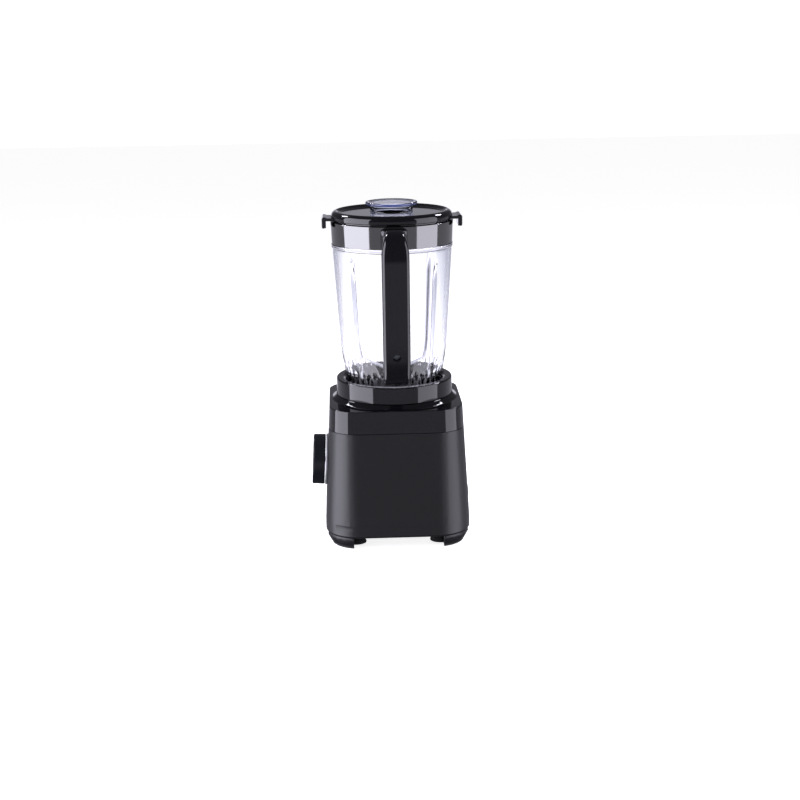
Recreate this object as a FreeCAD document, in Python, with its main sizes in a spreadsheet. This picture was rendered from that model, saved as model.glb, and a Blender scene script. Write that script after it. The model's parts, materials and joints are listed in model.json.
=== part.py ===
import FreeCAD, Part
import math
import os
import re
import Sketcher
from FreeCAD import Placement, Rotation, Vector

# A countertop blender: a motor base with one rotary knob, and a clear jar with a collar, a rim
# band with a handle, a lid and a measuring cap. The origin is on the motor's axis, on the surface
# that the blender stands on. +Z is up, the knob faces -Y and the handle points along +X.

# Driving dimensions, in millimetres and degrees; each can be changed by itself.
sizes = {
    # base casing: a rounded square whose walls lean inwards as they rise
    "base_width": 171.0,
    "wall_lean": 3.12,
    "corner_radius": 42.0,
    "casing_wall": 3.0,
    "lip_wall": 2.5,
    "lip_fit": 0.3,
    "lip_rise": 5.0,
    "leg_height": 12.0,
    "tray_height": 14.5,
    "housing_height": 109.5,
    "band_height": 27.2,
    # top cover: a nearly flat shoulder inside a crisp top edge, and a flared neck
    "shoulder_slope": 1.0,
    "neck_rise": 4.8,
    "neck_margin": 0.4,
    "flare_width": 4.6,
    "well_depth": 6.0,
    "well_floor": 4.0,
    "seat_gap": 0.2,
    # bottom tray, its legs and the feet
    "bevel_rise": 2.0,
    "bevel_run": 1.0,
    "tray_floor": 3.0,
    "leg_wall": 18.0,
    "leg_span": 32.5,
    "leg_straight": 3.5,
    "leg_taper": 29.0,
    "pad_height": 3.0,
    "foot_inset": 35.0,
    "foot_radius": 12.5,
    "foot_neck": 6.0,
    "foot_flange": 8.0,
    "vent_width": 3.0,
    "vent_pitch": 7.0,
    "vent_length": 44.0,
    "back_vent_rise": 32.5,
    "back_vent_length": 50.0,
    # screws: one self-tapping size for the casings and one long bolt size for the motor
    "screw_radius": 2.0,
    "screw_head_radius": 3.8,
    "screw_head": 2.6,
    "screw_fit": 0.3,
    "thread_fit": 0.05,
    "tray_screw_inset": 13.5,
    "tray_screw_length": 24.0,
    "tray_boss_radius": 5.0,
    "tray_boss_height": 15.0,
    "housing_boss_height": 22.0,
    # motor, which hangs under the top cover
    "bracket_drop": 39.0,
    "stator_bore": 23.0,
    "stator_stack": 40.0,
    "stator_yoke": 10.0,
    "window_width": 8.0,
    "window_half": 33.0,
    "pole_margin": 1.0,
    "coil_fit": 0.4,
    "coil_thickness": 7.0,
    "coil_overhang": 8.0,
    "air_gap": 0.6,
    "core_slots": 12,
    "slot_width": 4.0,
    "slot_depth": 6.0,
    "winding_inset": 3.0,
    "winding_overhang": 7.5,
    "shaft_radius": 4.0,
    "shaft_tail": 2.0,
    "running_fit": 0.05,
    "commutator_radius": 12.0,
    "commutator_length": 10.0,
    "commutator_gap": 3.0,
    "brush_width": 6.0,
    "brush_length": 20.0,
    "brush_gap": 0.2,
    "holder_wall": 1.5,
    "bearing_wall": 7.0,
    "bearing_width": 7.0,
    "bracket_plate": 4.0,
    "bracket_stand": 22.0,
    "hub_wall": 4.0,
    "bolt_inset": 6.0,
    "post_wall": 3.5,
    "grommet_height": 6.0,
    "grommet_wall": 5.0,
    "bolt_depth": 16.0,
    "fan_radius": 36.0,
    "fan_room": 20.0,
    "fan_drop": 20.0,
    "fan_height": 12.0,
    "fan_vanes": 9,
    # drive between base and jar
    "cup_wall": 4.5,
    "cup_depth": 7.8,
    "cup_rise": 2.2,
    "cup_floor": 1.2,
    "hub_margin": 3.0,
    "seal_wall": 4.0,
    "seal_lip": 2.0,
    "dog_radius": 7.0,
    "dog_reach": 10.5,
    "dog_teeth": 6,
    "tooth_width": 4.0,
    "dog_fit": 0.5,
    "dog_rise": 1.5,
    # interlock that stops the motor while the jar is off
    "pin_radius": 2.5,
    "pin_shoulder": 2.0,
    "pin_travel": 4.0,
    "pin_fit": 0.1,
    "bracket_hang": 27.0,
    "bracket_thickness": 2.0,
    "bracket_half": 11.0,
    "spring_wire": 0.6,
    "spring_turns": 5,
    "guide_drop": 9.0,
    # control knob on the front wall and the switch behind it
    "knob_rise": 59.3,
    "knob_radius": 30.4,
    "knob_thickness": 14.9,
    "knob_edge": 1.5,
    "knob_gap": 0.4,
    "ring_thickness": 2.4,
    "ring_radius": 30.8,
    "stem_radius": 3.0,
    "thread_wall": 2.0,
    "nut_wall": 3.0,
    "nut_height": 2.2,
    "switch_half": 15.0,
    "switch_depth": 16.0,
    # power inlet in the back wall
    "gland_rise": 16.5,
    "gland_bore": 3.6,
    "gland_wall": 2.9,
    "gland_lip": 3.0,
    # control board on posts in the tray
    "board_inset_x": 26.5,
    "board_inset_y": 46.5,
    "board_width": 30.0,
    "board_length": 46.0,
    "board_thickness": 1.6,
    "board_lift": 7.0,
    "board_screw_inset": 4.0,
    # jar: collar, foot, waist, cone, bead and rim
    "collar_wall": 11.8,
    "collar_height": 20.0,
    "collar_chamfer": 1.5,
    "thread_room": 1.0,
    "spigot_wall": 2.0,
    "spigot_depth": 3.5,
    "ledge_rise": 6.0,
    "ledge_width": 10.0,
    "ledge_thickness": 3.0,
    "carrier_flange": 3.0,
    "carrier_height": 15.5,
    "gasket_height": 2.0,
    "gasket_width": 7.0,
    "foot_outer": 56.0,
    "foot_height": 11.0,
    "waist_radius": 62.3,
    "waist_height": 33.0,
    "jar_wall": 2.6,
    "jar_top_radius": 70.2,
    "cone_height": 126.0,
    "flange_height": 4.0,
    "flange_lip": 1.0,
    "rim_inset": 1.2,
    "rim_height": 26.0,
    "rib_depth": 3.5,
    "rib_width": 5.0,
    "rib_start": 12.0,
    "rib_stop": 19.0,
    "lug_rise": 13.0,
    "lug_radius": 6.0,
    "lug_length": 7.7,
    # rim band and handle
    "band_fit": 0.3,
    "band_wall": 1.5,
    "band_flare": 1.0,
    "band_gap": 0.4,
    "band_cover": 4.5,
    "grip_width": 31.0,
    "grip_stand": 40.2,
    "grip_depth": 17.0,
    "grip_bevel": 4.5,
    "screw_recess": 4.4,
    "recess_depth": 22.0,
    "stud_length": 12.0,
    # lid and measuring cap
    "lid_inset": 1.5,
    "lid_height": 10.8,
    "lid_dish": 2.3,
    "lid_plate": 3.0,
    "lid_gap": 0.3,
    "plug_fit": 1.9,
    "plug_wall": 2.5,
    "plug_depth": 9.5,
    "seal_squeeze": 0.3,
    "tab_length": 9.7,
    "tab_width": 33.0,
    "tab_rise": 4.5,
    "tab_thickness": 3.0,
    "tab_drop": 12.0,
    "filler_radius": 24.3,
    "cap_fit": 0.9,
    "cap_shoulder": 0.7,
    "cap_flange": 5.5,
    "cap_depth": 14.0,
    "cap_rise": 9.2,
    "cap_top": 3.4,
    "cap_wall": 2.4,
    # blades
    "blade_rise": 3.5,
    "blade_thickness": 1.6,
    "blade_width": 14.0,
    "blade_reach": 34.0,
    "blade_flat": 9.0,
    "upper_tip_rise": 16.0,
    "lower_tip_drop": 7.5,
    "nut_rise": 10.0,
    "blade_nut_wall": 2.5,
}

# Levels and radii that follow from the driving dimensions, from the feet up.
derived = {
    "tray_low_z": "pad_height + leg_height",
    "seam_z": "tray_low_z + tray_height",
    "band_z": "seam_z + housing_height",
    "shoulder_z": "band_z + band_height",
    "seat_z": "shoulder_z + neck_rise",
    "well_z": "seat_z - well_depth",
    "tray_boss_top": "tray_low_z + tray_floor + tray_boss_height",
    "housing_boss_top": "tray_boss_top + housing_boss_height",
    "tray_screw_reach": "base_width / 2 - tray_screw_inset",
    "leg_gap_half": "base_width / 2 - leg_span",
    "foot_reach": "base_width / 2 - foot_inset",
    "back_vent_low": "seam_z + back_vent_rise",
    "back_vent_high": "back_vent_low + back_vent_length",
    "knob_z": "seam_z + knob_rise",
    "thread_radius": "stem_radius + thread_wall",
    "nut_radius": "thread_radius + nut_wall",
    "gland_z": "seam_z + gland_rise",
    "gland_radius": "gland_bore + gland_wall",
    "gland_flange": "gland_radius + gland_lip",
    "board_x": "board_inset_x - base_width / 2",
    "board_y": "board_inset_y - base_width / 2",
    "window_in": "stator_bore + pole_margin",
    "window_out": "window_in + window_width",
    "stator_half": "window_out + stator_yoke",
    "bolt_reach": "stator_half - bolt_inset",
    "coil_near": "window_in",
    "coil_far": "coil_near + coil_thickness",
    "winding_radius": "stator_bore - winding_inset",
    "upper_bracket_z": "well_z - bracket_drop",
    "stator_low_z": "upper_bracket_z - bracket_stand - stator_stack",
    "stator_top": "stator_low_z + stator_stack",
    "commutator_low_z": "upper_bracket_z - commutator_gap - commutator_length",
    "lower_bracket_z": "stator_low_z - fan_room",
    "fan_low_z": "lower_bracket_z - fan_drop",
    "shaft_low_z": "fan_low_z - shaft_tail",
    "hub_radius": "shaft_radius + hub_margin",
    "bearing_radius": "shaft_radius + bearing_wall",
    "post_radius": "screw_radius + post_wall",
    "grommet_radius": "screw_radius + grommet_wall",
    "seal_radius": "hub_radius + seal_wall",
    "seal_flange": "seal_radius + seal_lip",
    "cup_radius": "dog_reach + cup_wall",
    "cup_low_z": "well_z + cup_rise",
    "cup_top_z": "cup_low_z + cup_depth",
    "dog_top_z": "cup_top_z + dog_rise",
    "collar_bore": "foot_outer + thread_room",
    "collar_radius": "collar_bore + collar_wall",
    "collar_lip": "collar_bore + collar_chamfer",
    "spigot_radius": "collar_bore + 0.5",
    "well_radius": "spigot_radius + 0.5",
    "neck_radius": "collar_radius + neck_margin",
    "flare_radius": "neck_radius + flare_width",
    "pin_reach": "(neck_radius + well_radius) / 2",
    "pin_flange": "pin_radius + pin_shoulder",
    "spring_radius": "pin_radius + spring_wire * 2",
    "bracket_z": "well_z - bracket_hang",
    "guide_low_z": "well_z - guide_drop",
    "collar_top_z": "seat_z + collar_height",
    "ledge_z": "seat_z + ledge_rise",
    "ledge_radius": "foot_outer - ledge_width",
    "carrier_hub_z": "ledge_z + carrier_height",
    "foot_top_z": "ledge_z + foot_height",
    "waist_z": "foot_top_z + waist_height",
    "flange_z": "waist_z + cone_height",
    "flange_radius": "jar_top_radius + flange_lip",
    "rim_radius": "jar_top_radius - rim_inset",
    "jar_top_z": "flange_z + rim_height",
    "rib_low_z": "foot_top_z + rib_start",
    "rib_high_z": "flange_z - rib_stop",
    "lug_z": "waist_z + lug_rise",
    "lug_reach": "waist_radius + lug_length",
    "band_low_z": "flange_z + flange_height + band_gap",
    "band_high_z": "jar_top_z + band_cover",
    "band_low_radius": "rim_radius + band_fit + band_wall",
    "band_top_radius": "band_low_radius + band_flare",
    "grip_front_x": "band_top_radius + grip_stand",
    "lid_radius": "band_top_radius - lid_inset",
    "lid_top_z": "band_high_z + lid_height",
    "lid_plate_z": "lid_top_z - lid_dish",
    "plug_radius": "rim_radius - jar_wall - plug_fit",
    "plug_low_z": "band_high_z - plug_depth",
    "tab_reach": "band_top_radius + tab_length",
    "tab_top_z": "band_high_z + tab_rise",
    "tab_lip_z": "tab_top_z - tab_drop",
    "cap_plug_radius": "filler_radius - cap_fit",
    "cap_body_radius": "filler_radius + cap_shoulder",
    "cap_flange_radius": "cap_body_radius + cap_flange",
    "cap_low_z": "lid_plate_z - cap_depth",
    "cap_flange_z": "lid_plate_z + cap_rise",
    "cap_top_z": "cap_flange_z + cap_top",
    "blade_z": "carrier_hub_z + blade_rise",
    "upper_tip_z": "blade_z + upper_tip_rise",
    "lower_tip_z": "blade_z - lower_tip_drop",
    "nut_top_z": "blade_z + nut_rise",
    "nut_flat": "shaft_radius + blade_nut_wall",
}

doc = FreeCAD.newDocument("CountertopBlender")


def withSheets(formula):
    """Gives every word of a formula that names a cell the name of the sheet that holds it."""
    def known(found):
        word = found.group()
        if word in sizes:
            return "Sizes." + word
        return "Levels." + word if word in derived else word
    return re.sub(r"[a-z_]+", known, str(formula))


def fillSheet(name, cells):
    sheet = doc.addObject("Spreadsheet::Sheet", name)
    for row, (word, content) in enumerate(cells.items(), start=1):
        sheet.set(f"A{row}", word)
        sheet.set(f"B{row}", content)
        sheet.setAlias(f"B{row}", word)
    return sheet


driving = fillSheet("Sizes", {word: str(value) for word, value in sizes.items()})
levels = doc.addObject("Spreadsheet::Sheet", "Levels")
for row, word in enumerate(derived, start=1):
    levels.set(f"A{row}", word)
    levels.setAlias(f"B{row}", word)
for row, formula in enumerate(derived.values(), start=1):
    levels.set(f"B{row}", "=" + withSheets(formula).replace("Levels.", ""))
doc.recompute()

nodes = []


def size(word):
    """A driving or derived dimension as its sheet holds it."""
    return float((driving if word in sizes else levels).get(word))


def bind(thing, place, formula):
    """Ties one property of an object to the sheets."""
    thing.setExpression(place, withSheets(formula))


def across(level):
    """Outer width of the leaning casing at a height."""
    return f"(base_width - 2 * ({level} - seam_z) * tan(wall_lean))"


def rounding(level):
    """Outer corner radius of the leaning casing at a height."""
    return f"(corner_radius - ({level} - seam_z) * tan(wall_lean))"


def jarRadius(level):
    """Outer radius of the jar's long cone at a height above the waist."""
    slope = "(jar_top_radius - waist_radius) / (flange_z - waist_z)"
    return f"(waist_radius + ({level} - waist_z) * {slope})"


def newBody(name):
    body = doc.addObject("PartDesign::Body", name)
    body.Label = name
    nodes.append(body)
    return body


def originOf(body, role):
    return next(item for item in body.Origin.OriginFeatures if item.Role == role)


def newSketch(body, role="XY_Plane", level="0", shift=("0", "0"), turn=0):
    """A sketch on one of the body's own planes, raised along its normal and moved in its plane."""
    sketch = body.newObject("Sketcher::SketchObject", body.Name + "_sketch")
    sketch.AttachmentSupport = (originOf(body, role), "")
    sketch.MapMode = "FlatFace"
    if turn:
        sketch.AttachmentOffset = Placement(Vector(0, 0, 0), Rotation(Vector(0, 1, 0), turn))
    bind(sketch, "AttachmentOffset.Base.x", shift[0])
    bind(sketch, "AttachmentOffset.Base.y", shift[1])
    bind(sketch, "AttachmentOffset.Base.z", level)
    return sketch


def fix(sketch, constraint, formula):
    index = sketch.addConstraint(constraint)
    bind(sketch, f"Constraints[{index}]", formula)


def addPolygon(sketch, points):
    """A closed polygon; each corner is a pair of formulas measured from the sketch's origin."""
    first = sketch.GeometryCount
    count = len(points)
    ring = [Vector(math.cos(math.tau * i / count), math.sin(math.tau * i / count), 0)
            for i in range(count + 1)]
    for i in range(count):
        sketch.addGeometry(Part.LineSegment(ring[i], ring[i + 1]))
    for i in range(count):
        following = first + (i + 1) % count
        sketch.addConstraint(Sketcher.Constraint("Coincident", first + i, 2, following, 1))
    for i, (across_, up) in enumerate(points):
        fix(sketch, Sketcher.Constraint("DistanceX", -1, 1, first + i, 1, 1.0), across_)
        fix(sketch, Sketcher.Constraint("DistanceY", -1, 1, first + i, 1, 1.0), up)
    return sketch


def addRectangle(sketch, x_low, x_high, y_low, y_high):
    corners = [(x_low, y_low), (x_high, y_low), (x_high, y_high), (x_low, y_high)]
    return addPolygon(sketch, corners)


def addCircle(sketch, x, y, radius):
    index = sketch.addGeometry(Part.Circle(Vector(0, 0, 0), Vector(0, 0, 1), 5.0))
    fix(sketch, Sketcher.Constraint("DistanceX", -1, 1, index, 3, 1.0), x)
    fix(sketch, Sketcher.Constraint("DistanceY", -1, 1, index, 3, 1.0), y)
    fix(sketch, Sketcher.Constraint("Radius", index, 5.0), radius)
    return sketch


def addRounded(sketch, width, radius):
    """A square of the given width about the sketch's origin, with rounded corners."""
    first = sketch.GeometryCount
    start, bend = 50.0, 20.0
    flat = start - bend
    sides = [((-flat, -start), (flat, -start)), ((start, -flat), (start, flat)),
             ((flat, start), (-flat, start)), ((-start, flat), (-start, -flat))]
    for begin, end in sides:
        sketch.addGeometry(Part.LineSegment(Vector(*begin, 0), Vector(*end, 0)))
    for i, (x, y) in enumerate([(flat, -flat), (flat, flat), (-flat, flat), (-flat, -flat)]):
        circle = Part.Circle(Vector(x, y, 0), Vector(0, 0, 1), bend)
        opening = math.radians(90 * (i - 1))
        sketch.addGeometry(Part.ArcOfCircle(circle, opening, opening + math.pi / 2))
    for i in range(4):
        side, arc = first + i, first + 4 + i
        sketch.addConstraint(Sketcher.Constraint("Tangent", side, 2, arc, 1))
        sketch.addConstraint(Sketcher.Constraint("Tangent", arc, 2, first + (i + 1) % 4, 1))
        level = "Vertical" if i % 2 else "Horizontal"
        sketch.addConstraint(Sketcher.Constraint(level, side))
    for i in range(3):
        sketch.addConstraint(Sketcher.Constraint("Equal", first + 4 + i, first + 5 + i))
    sketch.addConstraint(Sketcher.Constraint("Symmetric", first + 4, 3, first + 6, 3, -1, 1))
    fix(sketch, Sketcher.Constraint("DistanceX", first + 3, 1, first + 1, 1, 2 * start), width)
    fix(sketch, Sketcher.Constraint("DistanceY", first, 1, first + 2, 1, 2 * start), width)
    fix(sketch, Sketcher.Constraint("Radius", first + 4, bend), radius)
    return sketch


def pad(body, sketch, length, lean=None, back=False, both=False):
    feature = body.newObject("PartDesign::Pad", body.Name + "_pad")
    feature.Profile = sketch
    feature.Midplane = both
    feature.Reversed = back
    bind(feature, "Length", length)
    if lean:
        bind(feature, "TaperAngle", lean)
    return feature


def pocket(body, sketch, depth, lean=None, back=False, both=False):
    feature = body.newObject("PartDesign::Pocket", body.Name + "_pocket")
    feature.Profile = sketch
    feature.Midplane = both
    feature.Reversed = back
    bind(feature, "Length", depth)
    if lean:
        bind(feature, "TaperAngle", lean)
    return feature


def turn(body, profile, cut=False, at=("0", "0"), role="XZ_Plane"):
    """Revolves a closed profile of (radius, height) pairs about a vertical axis at x, y."""
    sketch = newSketch(body, role, level=f"-({at[1]})", shift=(at[0], "0"))
    addPolygon(sketch, profile)
    kind = "Groove" if cut else "Revolution"
    feature = body.newObject("PartDesign::" + kind, body.Name + "_" + kind.lower())
    feature.Profile = sketch
    feature.ReferenceAxis = (sketch, ["V_Axis"])
    feature.Angle = 360
    return feature


def aroundAxis(body, features, count):
    """Repeats features evenly about the vertical axis."""
    pattern = body.newObject("PartDesign::PolarPattern", body.Name + "_pattern")
    pattern.Originals = features
    pattern.Axis = (originOf(body, "Z_Axis"), [""])
    pattern.Angle = 360
    bind(pattern, "Occurrences", count)
    body.Tip = pattern
    return pattern


def soften(body, radius, wanted, kind="Fillet"):
    """Rounds or chamfers the edges of the body's tip that a test picks."""
    doc.recompute()
    base = body.Tip
    picked = [f"Edge{i}" for i, edge in enumerate(base.Shape.Edges, start=1) if wanted(edge)]
    feature = body.newObject("PartDesign::" + kind, body.Name + "_" + kind.lower())
    feature.Base = (base, picked)
    bind(feature, "Radius" if kind == "Fillet" else "Size", radius)
    return feature


def circleAt(radius, level):
    """A test for the full circular edges of one radius at one height about the vertical axis."""
    def wanted(edge):
        if not isinstance(edge.Curve, Part.Circle):
            return False
        centre = edge.Curve.Center
        near = abs(edge.Curve.Radius - radius) < 0.01 and abs(centre.z - level) < 0.01
        return near and math.hypot(centre.x, centre.y) < 0.01
    return wanted


def ring(name, inner, outer, low, high):
    """A plain turned ring on the vertical axis; an inner radius of 0 makes a disc."""
    body = newBody(name)
    turn(body, [(inner, low), (outer, low), (outer, high), (inner, high)])
    return body


def block(name, x, y, z):
    """A plain box; each of x, y and z is a pair of formulas."""
    body = newBody(name)
    sketch = newSketch(body, level=z[0])
    addRectangle(sketch, x[0], x[1], y[0], y[1])
    pad(body, sketch, f"({z[1]}) - ({z[0]})")
    return body


def screwProfile(head_low, shank_top):
    """Half section of a screw that points up, with a pan head below its shank."""
    head_top = f"({head_low}) + screw_head"
    return [("0", head_low), ("screw_head_radius", head_low), ("screw_head_radius", head_top),
            ("screw_radius", head_top), ("screw_radius", shank_top), ("0", shank_top)]


def onWall(body, level, front=True):
    """Stands a body, made along its own +Z, on the leaning front or back wall at a height."""
    side = -1 if front else 1
    body.Placement = Placement(Vector(0, 0, 0), Rotation(Vector(-side, 0, 0), 90))
    bind(body, "Placement.Base.y", f"{side} * {across(level)} / 2")
    bind(body, "Placement.Base.z", level)
    bind(body, "Placement.Rotation.Angle", "90 - wall_lean")


# casing

quarters = [(1, 1), (-1, 1), (-1, -1), (1, -1)]


def makeHousing():
    """Satin shell between the seam and the gloss band, with bosses, knob hole and back vents."""
    body = newBody("base_housing")
    outside = addRounded(newSketch(body, level="seam_z"), across("seam_z"), rounding("seam_z"))
    pad(body, outside, "band_z - seam_z", lean="-wall_lean")
    inside = addRounded(newSketch(body, level="band_z"), across("band_z") + " - 2 * casing_wall",
                        rounding("band_z") + " - casing_wall")
    pocket(body, inside, "band_z - seam_z", lean="wall_lean")
    bosses = newSketch(body, level="tray_boss_top")
    addCircle(bosses, "tray_screw_reach", "0", "tray_boss_radius")
    column = pad(body, bosses, "housing_boss_top - tray_boss_top")
    web_low = "(seam_z + lip_rise + lip_fit)"
    web = newSketch(body, level=web_low)
    wall_middle = across("housing_boss_top") + " / 2 - casing_wall / 2"
    addRectangle(web, "tray_screw_reach", wall_middle, "-casing_wall / 2", "casing_wall / 2")
    rib = pad(body, web, f"housing_boss_top - {web_low}")
    hole = newSketch(body, level="tray_boss_top")
    addCircle(hole, "tray_screw_reach", "0", "screw_radius + thread_fit")
    pilot = pocket(body, hole, "housing_boss_top - tray_boss_top - casing_wall", back=True)
    aroundAxis(body, [column, rib, pilot], 4)
    knob_hole = newSketch(body, "XZ_Plane")
    addCircle(knob_hole, "0", "knob_z", "thread_radius + lip_fit * 2")
    pocket(body, knob_hole, "base_width / 2", back=True)
    gland_hole = newSketch(body, "XZ_Plane")
    addCircle(gland_hole, "0", "gland_z", "gland_radius + 2 * lip_fit")
    pocket(body, gland_hole, "base_width / 2")
    vents = newSketch(body, "XZ_Plane")
    for i in range(-4, 5):
        left = f"{i} * vent_pitch - vent_width / 2"
        right = f"{i} * vent_pitch + vent_width / 2"
        addRectangle(vents, left, right, "back_vent_low", "back_vent_high")
    pocket(body, vents, "base_width / 2")


def makeTopCover():
    """Gloss cap of the base: band, coned shoulder, flared neck, jar well and motor posts."""
    body = newBody("top_cover")
    cover_wall = "(casing_wall + lip_wall + lip_fit)"
    outside = addRounded(newSketch(body, level="band_z"), across("band_z"), rounding("band_z"))
    pad(body, outside, "seat_z + 1 - band_z", lean="-wall_lean")
    under = "(well_z - well_floor)"
    inside = addRounded(newSketch(body, level=under), across(under) + f" - 2 * {cover_wall}",
                        rounding(under) + f" - {cover_wall}")
    pocket(body, inside, f"{under} - band_z", lean="wall_lean")
    lip = newSketch(body, level="band_z")
    addRounded(lip, across("band_z") + " - 2 * casing_wall - 2 * lip_fit",
               rounding("band_z") + " - casing_wall - lip_fit")
    addRounded(lip, across("band_z") + f" - 2 * {cover_wall}",
               rounding("band_z") + f" - {cover_wall}")
    pad(body, lip, "lip_rise", back=True)
    edge_drop = "(base_width - flare_radius) * tan(shoulder_slope)"
    flare_z = f"(shoulder_z + ({across('shoulder_z')} / 2 - flare_radius) * tan(shoulder_slope))"
    turn(body, [("0", "well_z"), ("well_radius", "well_z"), ("well_radius", "seat_z"),
                ("neck_radius", "seat_z"), ("flare_radius", flare_z),
                ("base_width", f"{flare_z} - {edge_drop}"), ("base_width", "seat_z + 20"),
                ("0", "seat_z + 20")], cut=True)
    post_low = "(upper_bracket_z + bracket_plate + grommet_height)"
    posts = addCircle(newSketch(body, level=post_low), "bolt_reach", "bolt_reach", "post_radius")
    post = pad(body, posts, f"{under} - {post_low} + 0.5")
    holes = newSketch(body, level=post_low)
    addCircle(holes, "bolt_reach", "bolt_reach", "screw_radius + thread_fit")
    hole = pocket(body, holes, "bolt_depth + 1", back=True)
    aroundAxis(body, [post, hole], 4)
    legs = newSketch(body, level="bracket_z + bracket_thickness")
    for side in (-1, 1):
        addCircle(legs, f"{side} * bracket_half", "-pin_reach", "screw_radius + casing_wall / 2")
    pad(body, legs, f"{under} - bracket_z - bracket_thickness + 0.5")
    guide = addCircle(newSketch(body, level="guide_low_z"), "0", "-pin_reach",
                      "pin_radius + casing_wall / 2")
    pad(body, guide, f"{under} - guide_low_z + 0.5")
    bores = newSketch(body, level="bracket_z + bracket_thickness")
    for side in (-1, 1):
        addCircle(bores, f"{side} * bracket_half", "-pin_reach", "screw_radius / 2 + thread_fit")
    pocket(body, bores, "screw_head * 3", back=True)
    pin_hole = addCircle(newSketch(body, level="seat_z + 1"), "0", "-pin_reach",
                         "pin_radius + pin_fit")
    pocket(body, pin_hole, "seat_z + 1 - guide_low_z")
    shaft_hole = addCircle(newSketch(body, level="well_z"), "0", "0", "seal_radius + lip_fit")
    pocket(body, shaft_hole, "well_floor")


def hollowLegs(body, level, depth):
    """Leaves a wall that follows the tray's edge, from which four corner pieces are cut."""
    inner = addRounded(newSketch(body, level=level), "base_width - 2 * (bevel_run + leg_wall)",
                       "corner_radius - bevel_run - leg_wall")
    pocket(body, inner, depth)


def cutBetweenLegs(body, level, depth):
    for wide in (True, False):
        sketch = newSketch(body, level=level)
        spans = [("-base_width", "base_width"), ("-leg_gap_half", "leg_gap_half")]
        (x_low, x_high), (y_low, y_high) = spans if wide else spans[::-1]
        addRectangle(sketch, x_low, x_high, y_low, y_high)
        pocket(body, sketch, depth)


def makeTray():
    """Bottom shell with a bevelled edge, floor vents, board posts and screw bosses."""
    body = newBody("bottom_tray")
    low = addRounded(newSketch(body, level="tray_low_z"), "base_width - 2 * bevel_run",
                     "corner_radius - bevel_run")
    high = addRounded(newSketch(body, level="tray_low_z + bevel_rise"), "base_width",
                      "corner_radius")
    loft = body.newObject("PartDesign::AdditiveLoft", "bottom_tray_loft")
    loft.Profile = low
    loft.Sections = [high]
    loft.Ruled = True
    side = addRounded(newSketch(body, level="tray_low_z + bevel_rise"), "base_width",
                      "corner_radius")
    pad(body, side, "seam_z - tray_low_z - bevel_rise")
    rise = "(seam_z + lip_rise)"
    lip = addRounded(newSketch(body, level="seam_z"),
                     across(rise) + " - 2 * casing_wall - 2 * lip_fit",
                     rounding(rise) + " - casing_wall - lip_fit")
    pad(body, lip, "lip_rise")
    wall = "(casing_wall + lip_wall + lip_fit)"
    hollow = addRounded(newSketch(body, level=rise), across(rise) + f" - 2 * {wall}",
                        rounding(rise) + f" - {wall}")
    pocket(body, hollow, f"{rise} - tray_low_z - tray_floor")
    floor = "(tray_low_z + tray_floor)"
    bosses = addCircle(newSketch(body, level=floor), "tray_screw_reach", "0", "tray_boss_radius")
    boss = pad(body, bosses, f"tray_boss_top - {floor}")
    passage = newSketch(body, level="tray_boss_top")
    addCircle(passage, "tray_screw_reach", "0", "screw_radius + screw_fit")
    hole = pocket(body, passage, "tray_boss_top")
    recess = newSketch(body, level=f"{floor} + screw_head")
    addCircle(recess, "tray_screw_reach", "0", "screw_head_radius + screw_fit")
    sink = pocket(body, recess, "tray_boss_top")
    plugs = addCircle(newSketch(body, level=floor), "foot_reach", "foot_reach",
                      "foot_neck - casing_wall / 2 + lip_fit")
    plug = pocket(body, plugs, "tray_floor")
    aroundAxis(body, [boss, hole, sink, plug], 4)
    standoffs = newSketch(body, level=floor)
    for x, y in boardHoles():
        addCircle(standoffs, x, y, "screw_radius + lip_fit")
    pad(body, standoffs, "board_lift")
    vents = newSketch(body, level=floor)
    for i in range(-4, 5):
        addRectangle(vents, "-vent_length / 2", "vent_length / 2",
                     f"{i} * vent_pitch - vent_width / 2", f"{i} * vent_pitch + vent_width / 2")
    pocket(body, vents, "tray_floor")


def makeFeet():
    """Corner legs, the rubber pads under them, and suction feet just inboard of them."""
    knee = "(tray_low_z - leg_straight)"
    toe_inset = "(bevel_run + (leg_height - leg_straight) * tan(leg_taper))"
    legs = newBody("corner_legs")
    for level, inset, drop, lean in (
            ("tray_low_z", "bevel_run", "leg_straight", None),
            (knee, "bevel_run", "leg_height - leg_straight", "-leg_taper")):
        outline = addRounded(newSketch(legs, level=level), f"base_width - 2 * {inset}",
                             f"corner_radius - {inset}")
        pad(legs, outline, drop, lean=lean, back=True)
    hollowLegs(legs, "tray_low_z", "leg_height")
    cutBetweenLegs(legs, "tray_low_z", "leg_height")
    pads = newBody("leg_pads")
    sole = addRounded(newSketch(pads, level="pad_height"), f"base_width - 2 * {toe_inset}",
                      f"corner_radius - {toe_inset}")
    pad(pads, sole, "pad_height", lean="-leg_taper", back=True)
    hollowLegs(pads, "pad_height", "pad_height")
    cutBetweenLegs(pads, "pad_height", "pad_height")
    body = newBody("suction_feet")
    under = "tray_low_z"
    stem = "(foot_neck - casing_wall / 2)"
    foot = turn(body, [("0", "1.5"), ("foot_radius - 3", "0.6"), ("foot_radius - 1", "0"),
                       ("foot_radius", "0"), ("foot_radius", "1.2"), ("foot_radius - 3", "5"),
                       ("foot_flange", "7"), ("foot_flange", under), (stem, under),
                       (stem, f"{under} + tray_floor + 0.2"),
                       ("foot_neck", f"{under} + tray_floor + 0.2"),
                       ("foot_neck - 2", f"{under} + tray_floor + 3"),
                       ("0", f"{under} + tray_floor + 3")], at=("foot_reach", "foot_reach"))
    aroundAxis(body, [foot], 4)


def makeCasingScrews():
    body = newBody("tray_screws")
    head = "tray_low_z + tray_floor"
    screw = turn(body, screwProfile(head, f"{head} + tray_screw_length"),
                 at=("tray_screw_reach", "0"))
    aroundAxis(body, [screw], 4)


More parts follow.
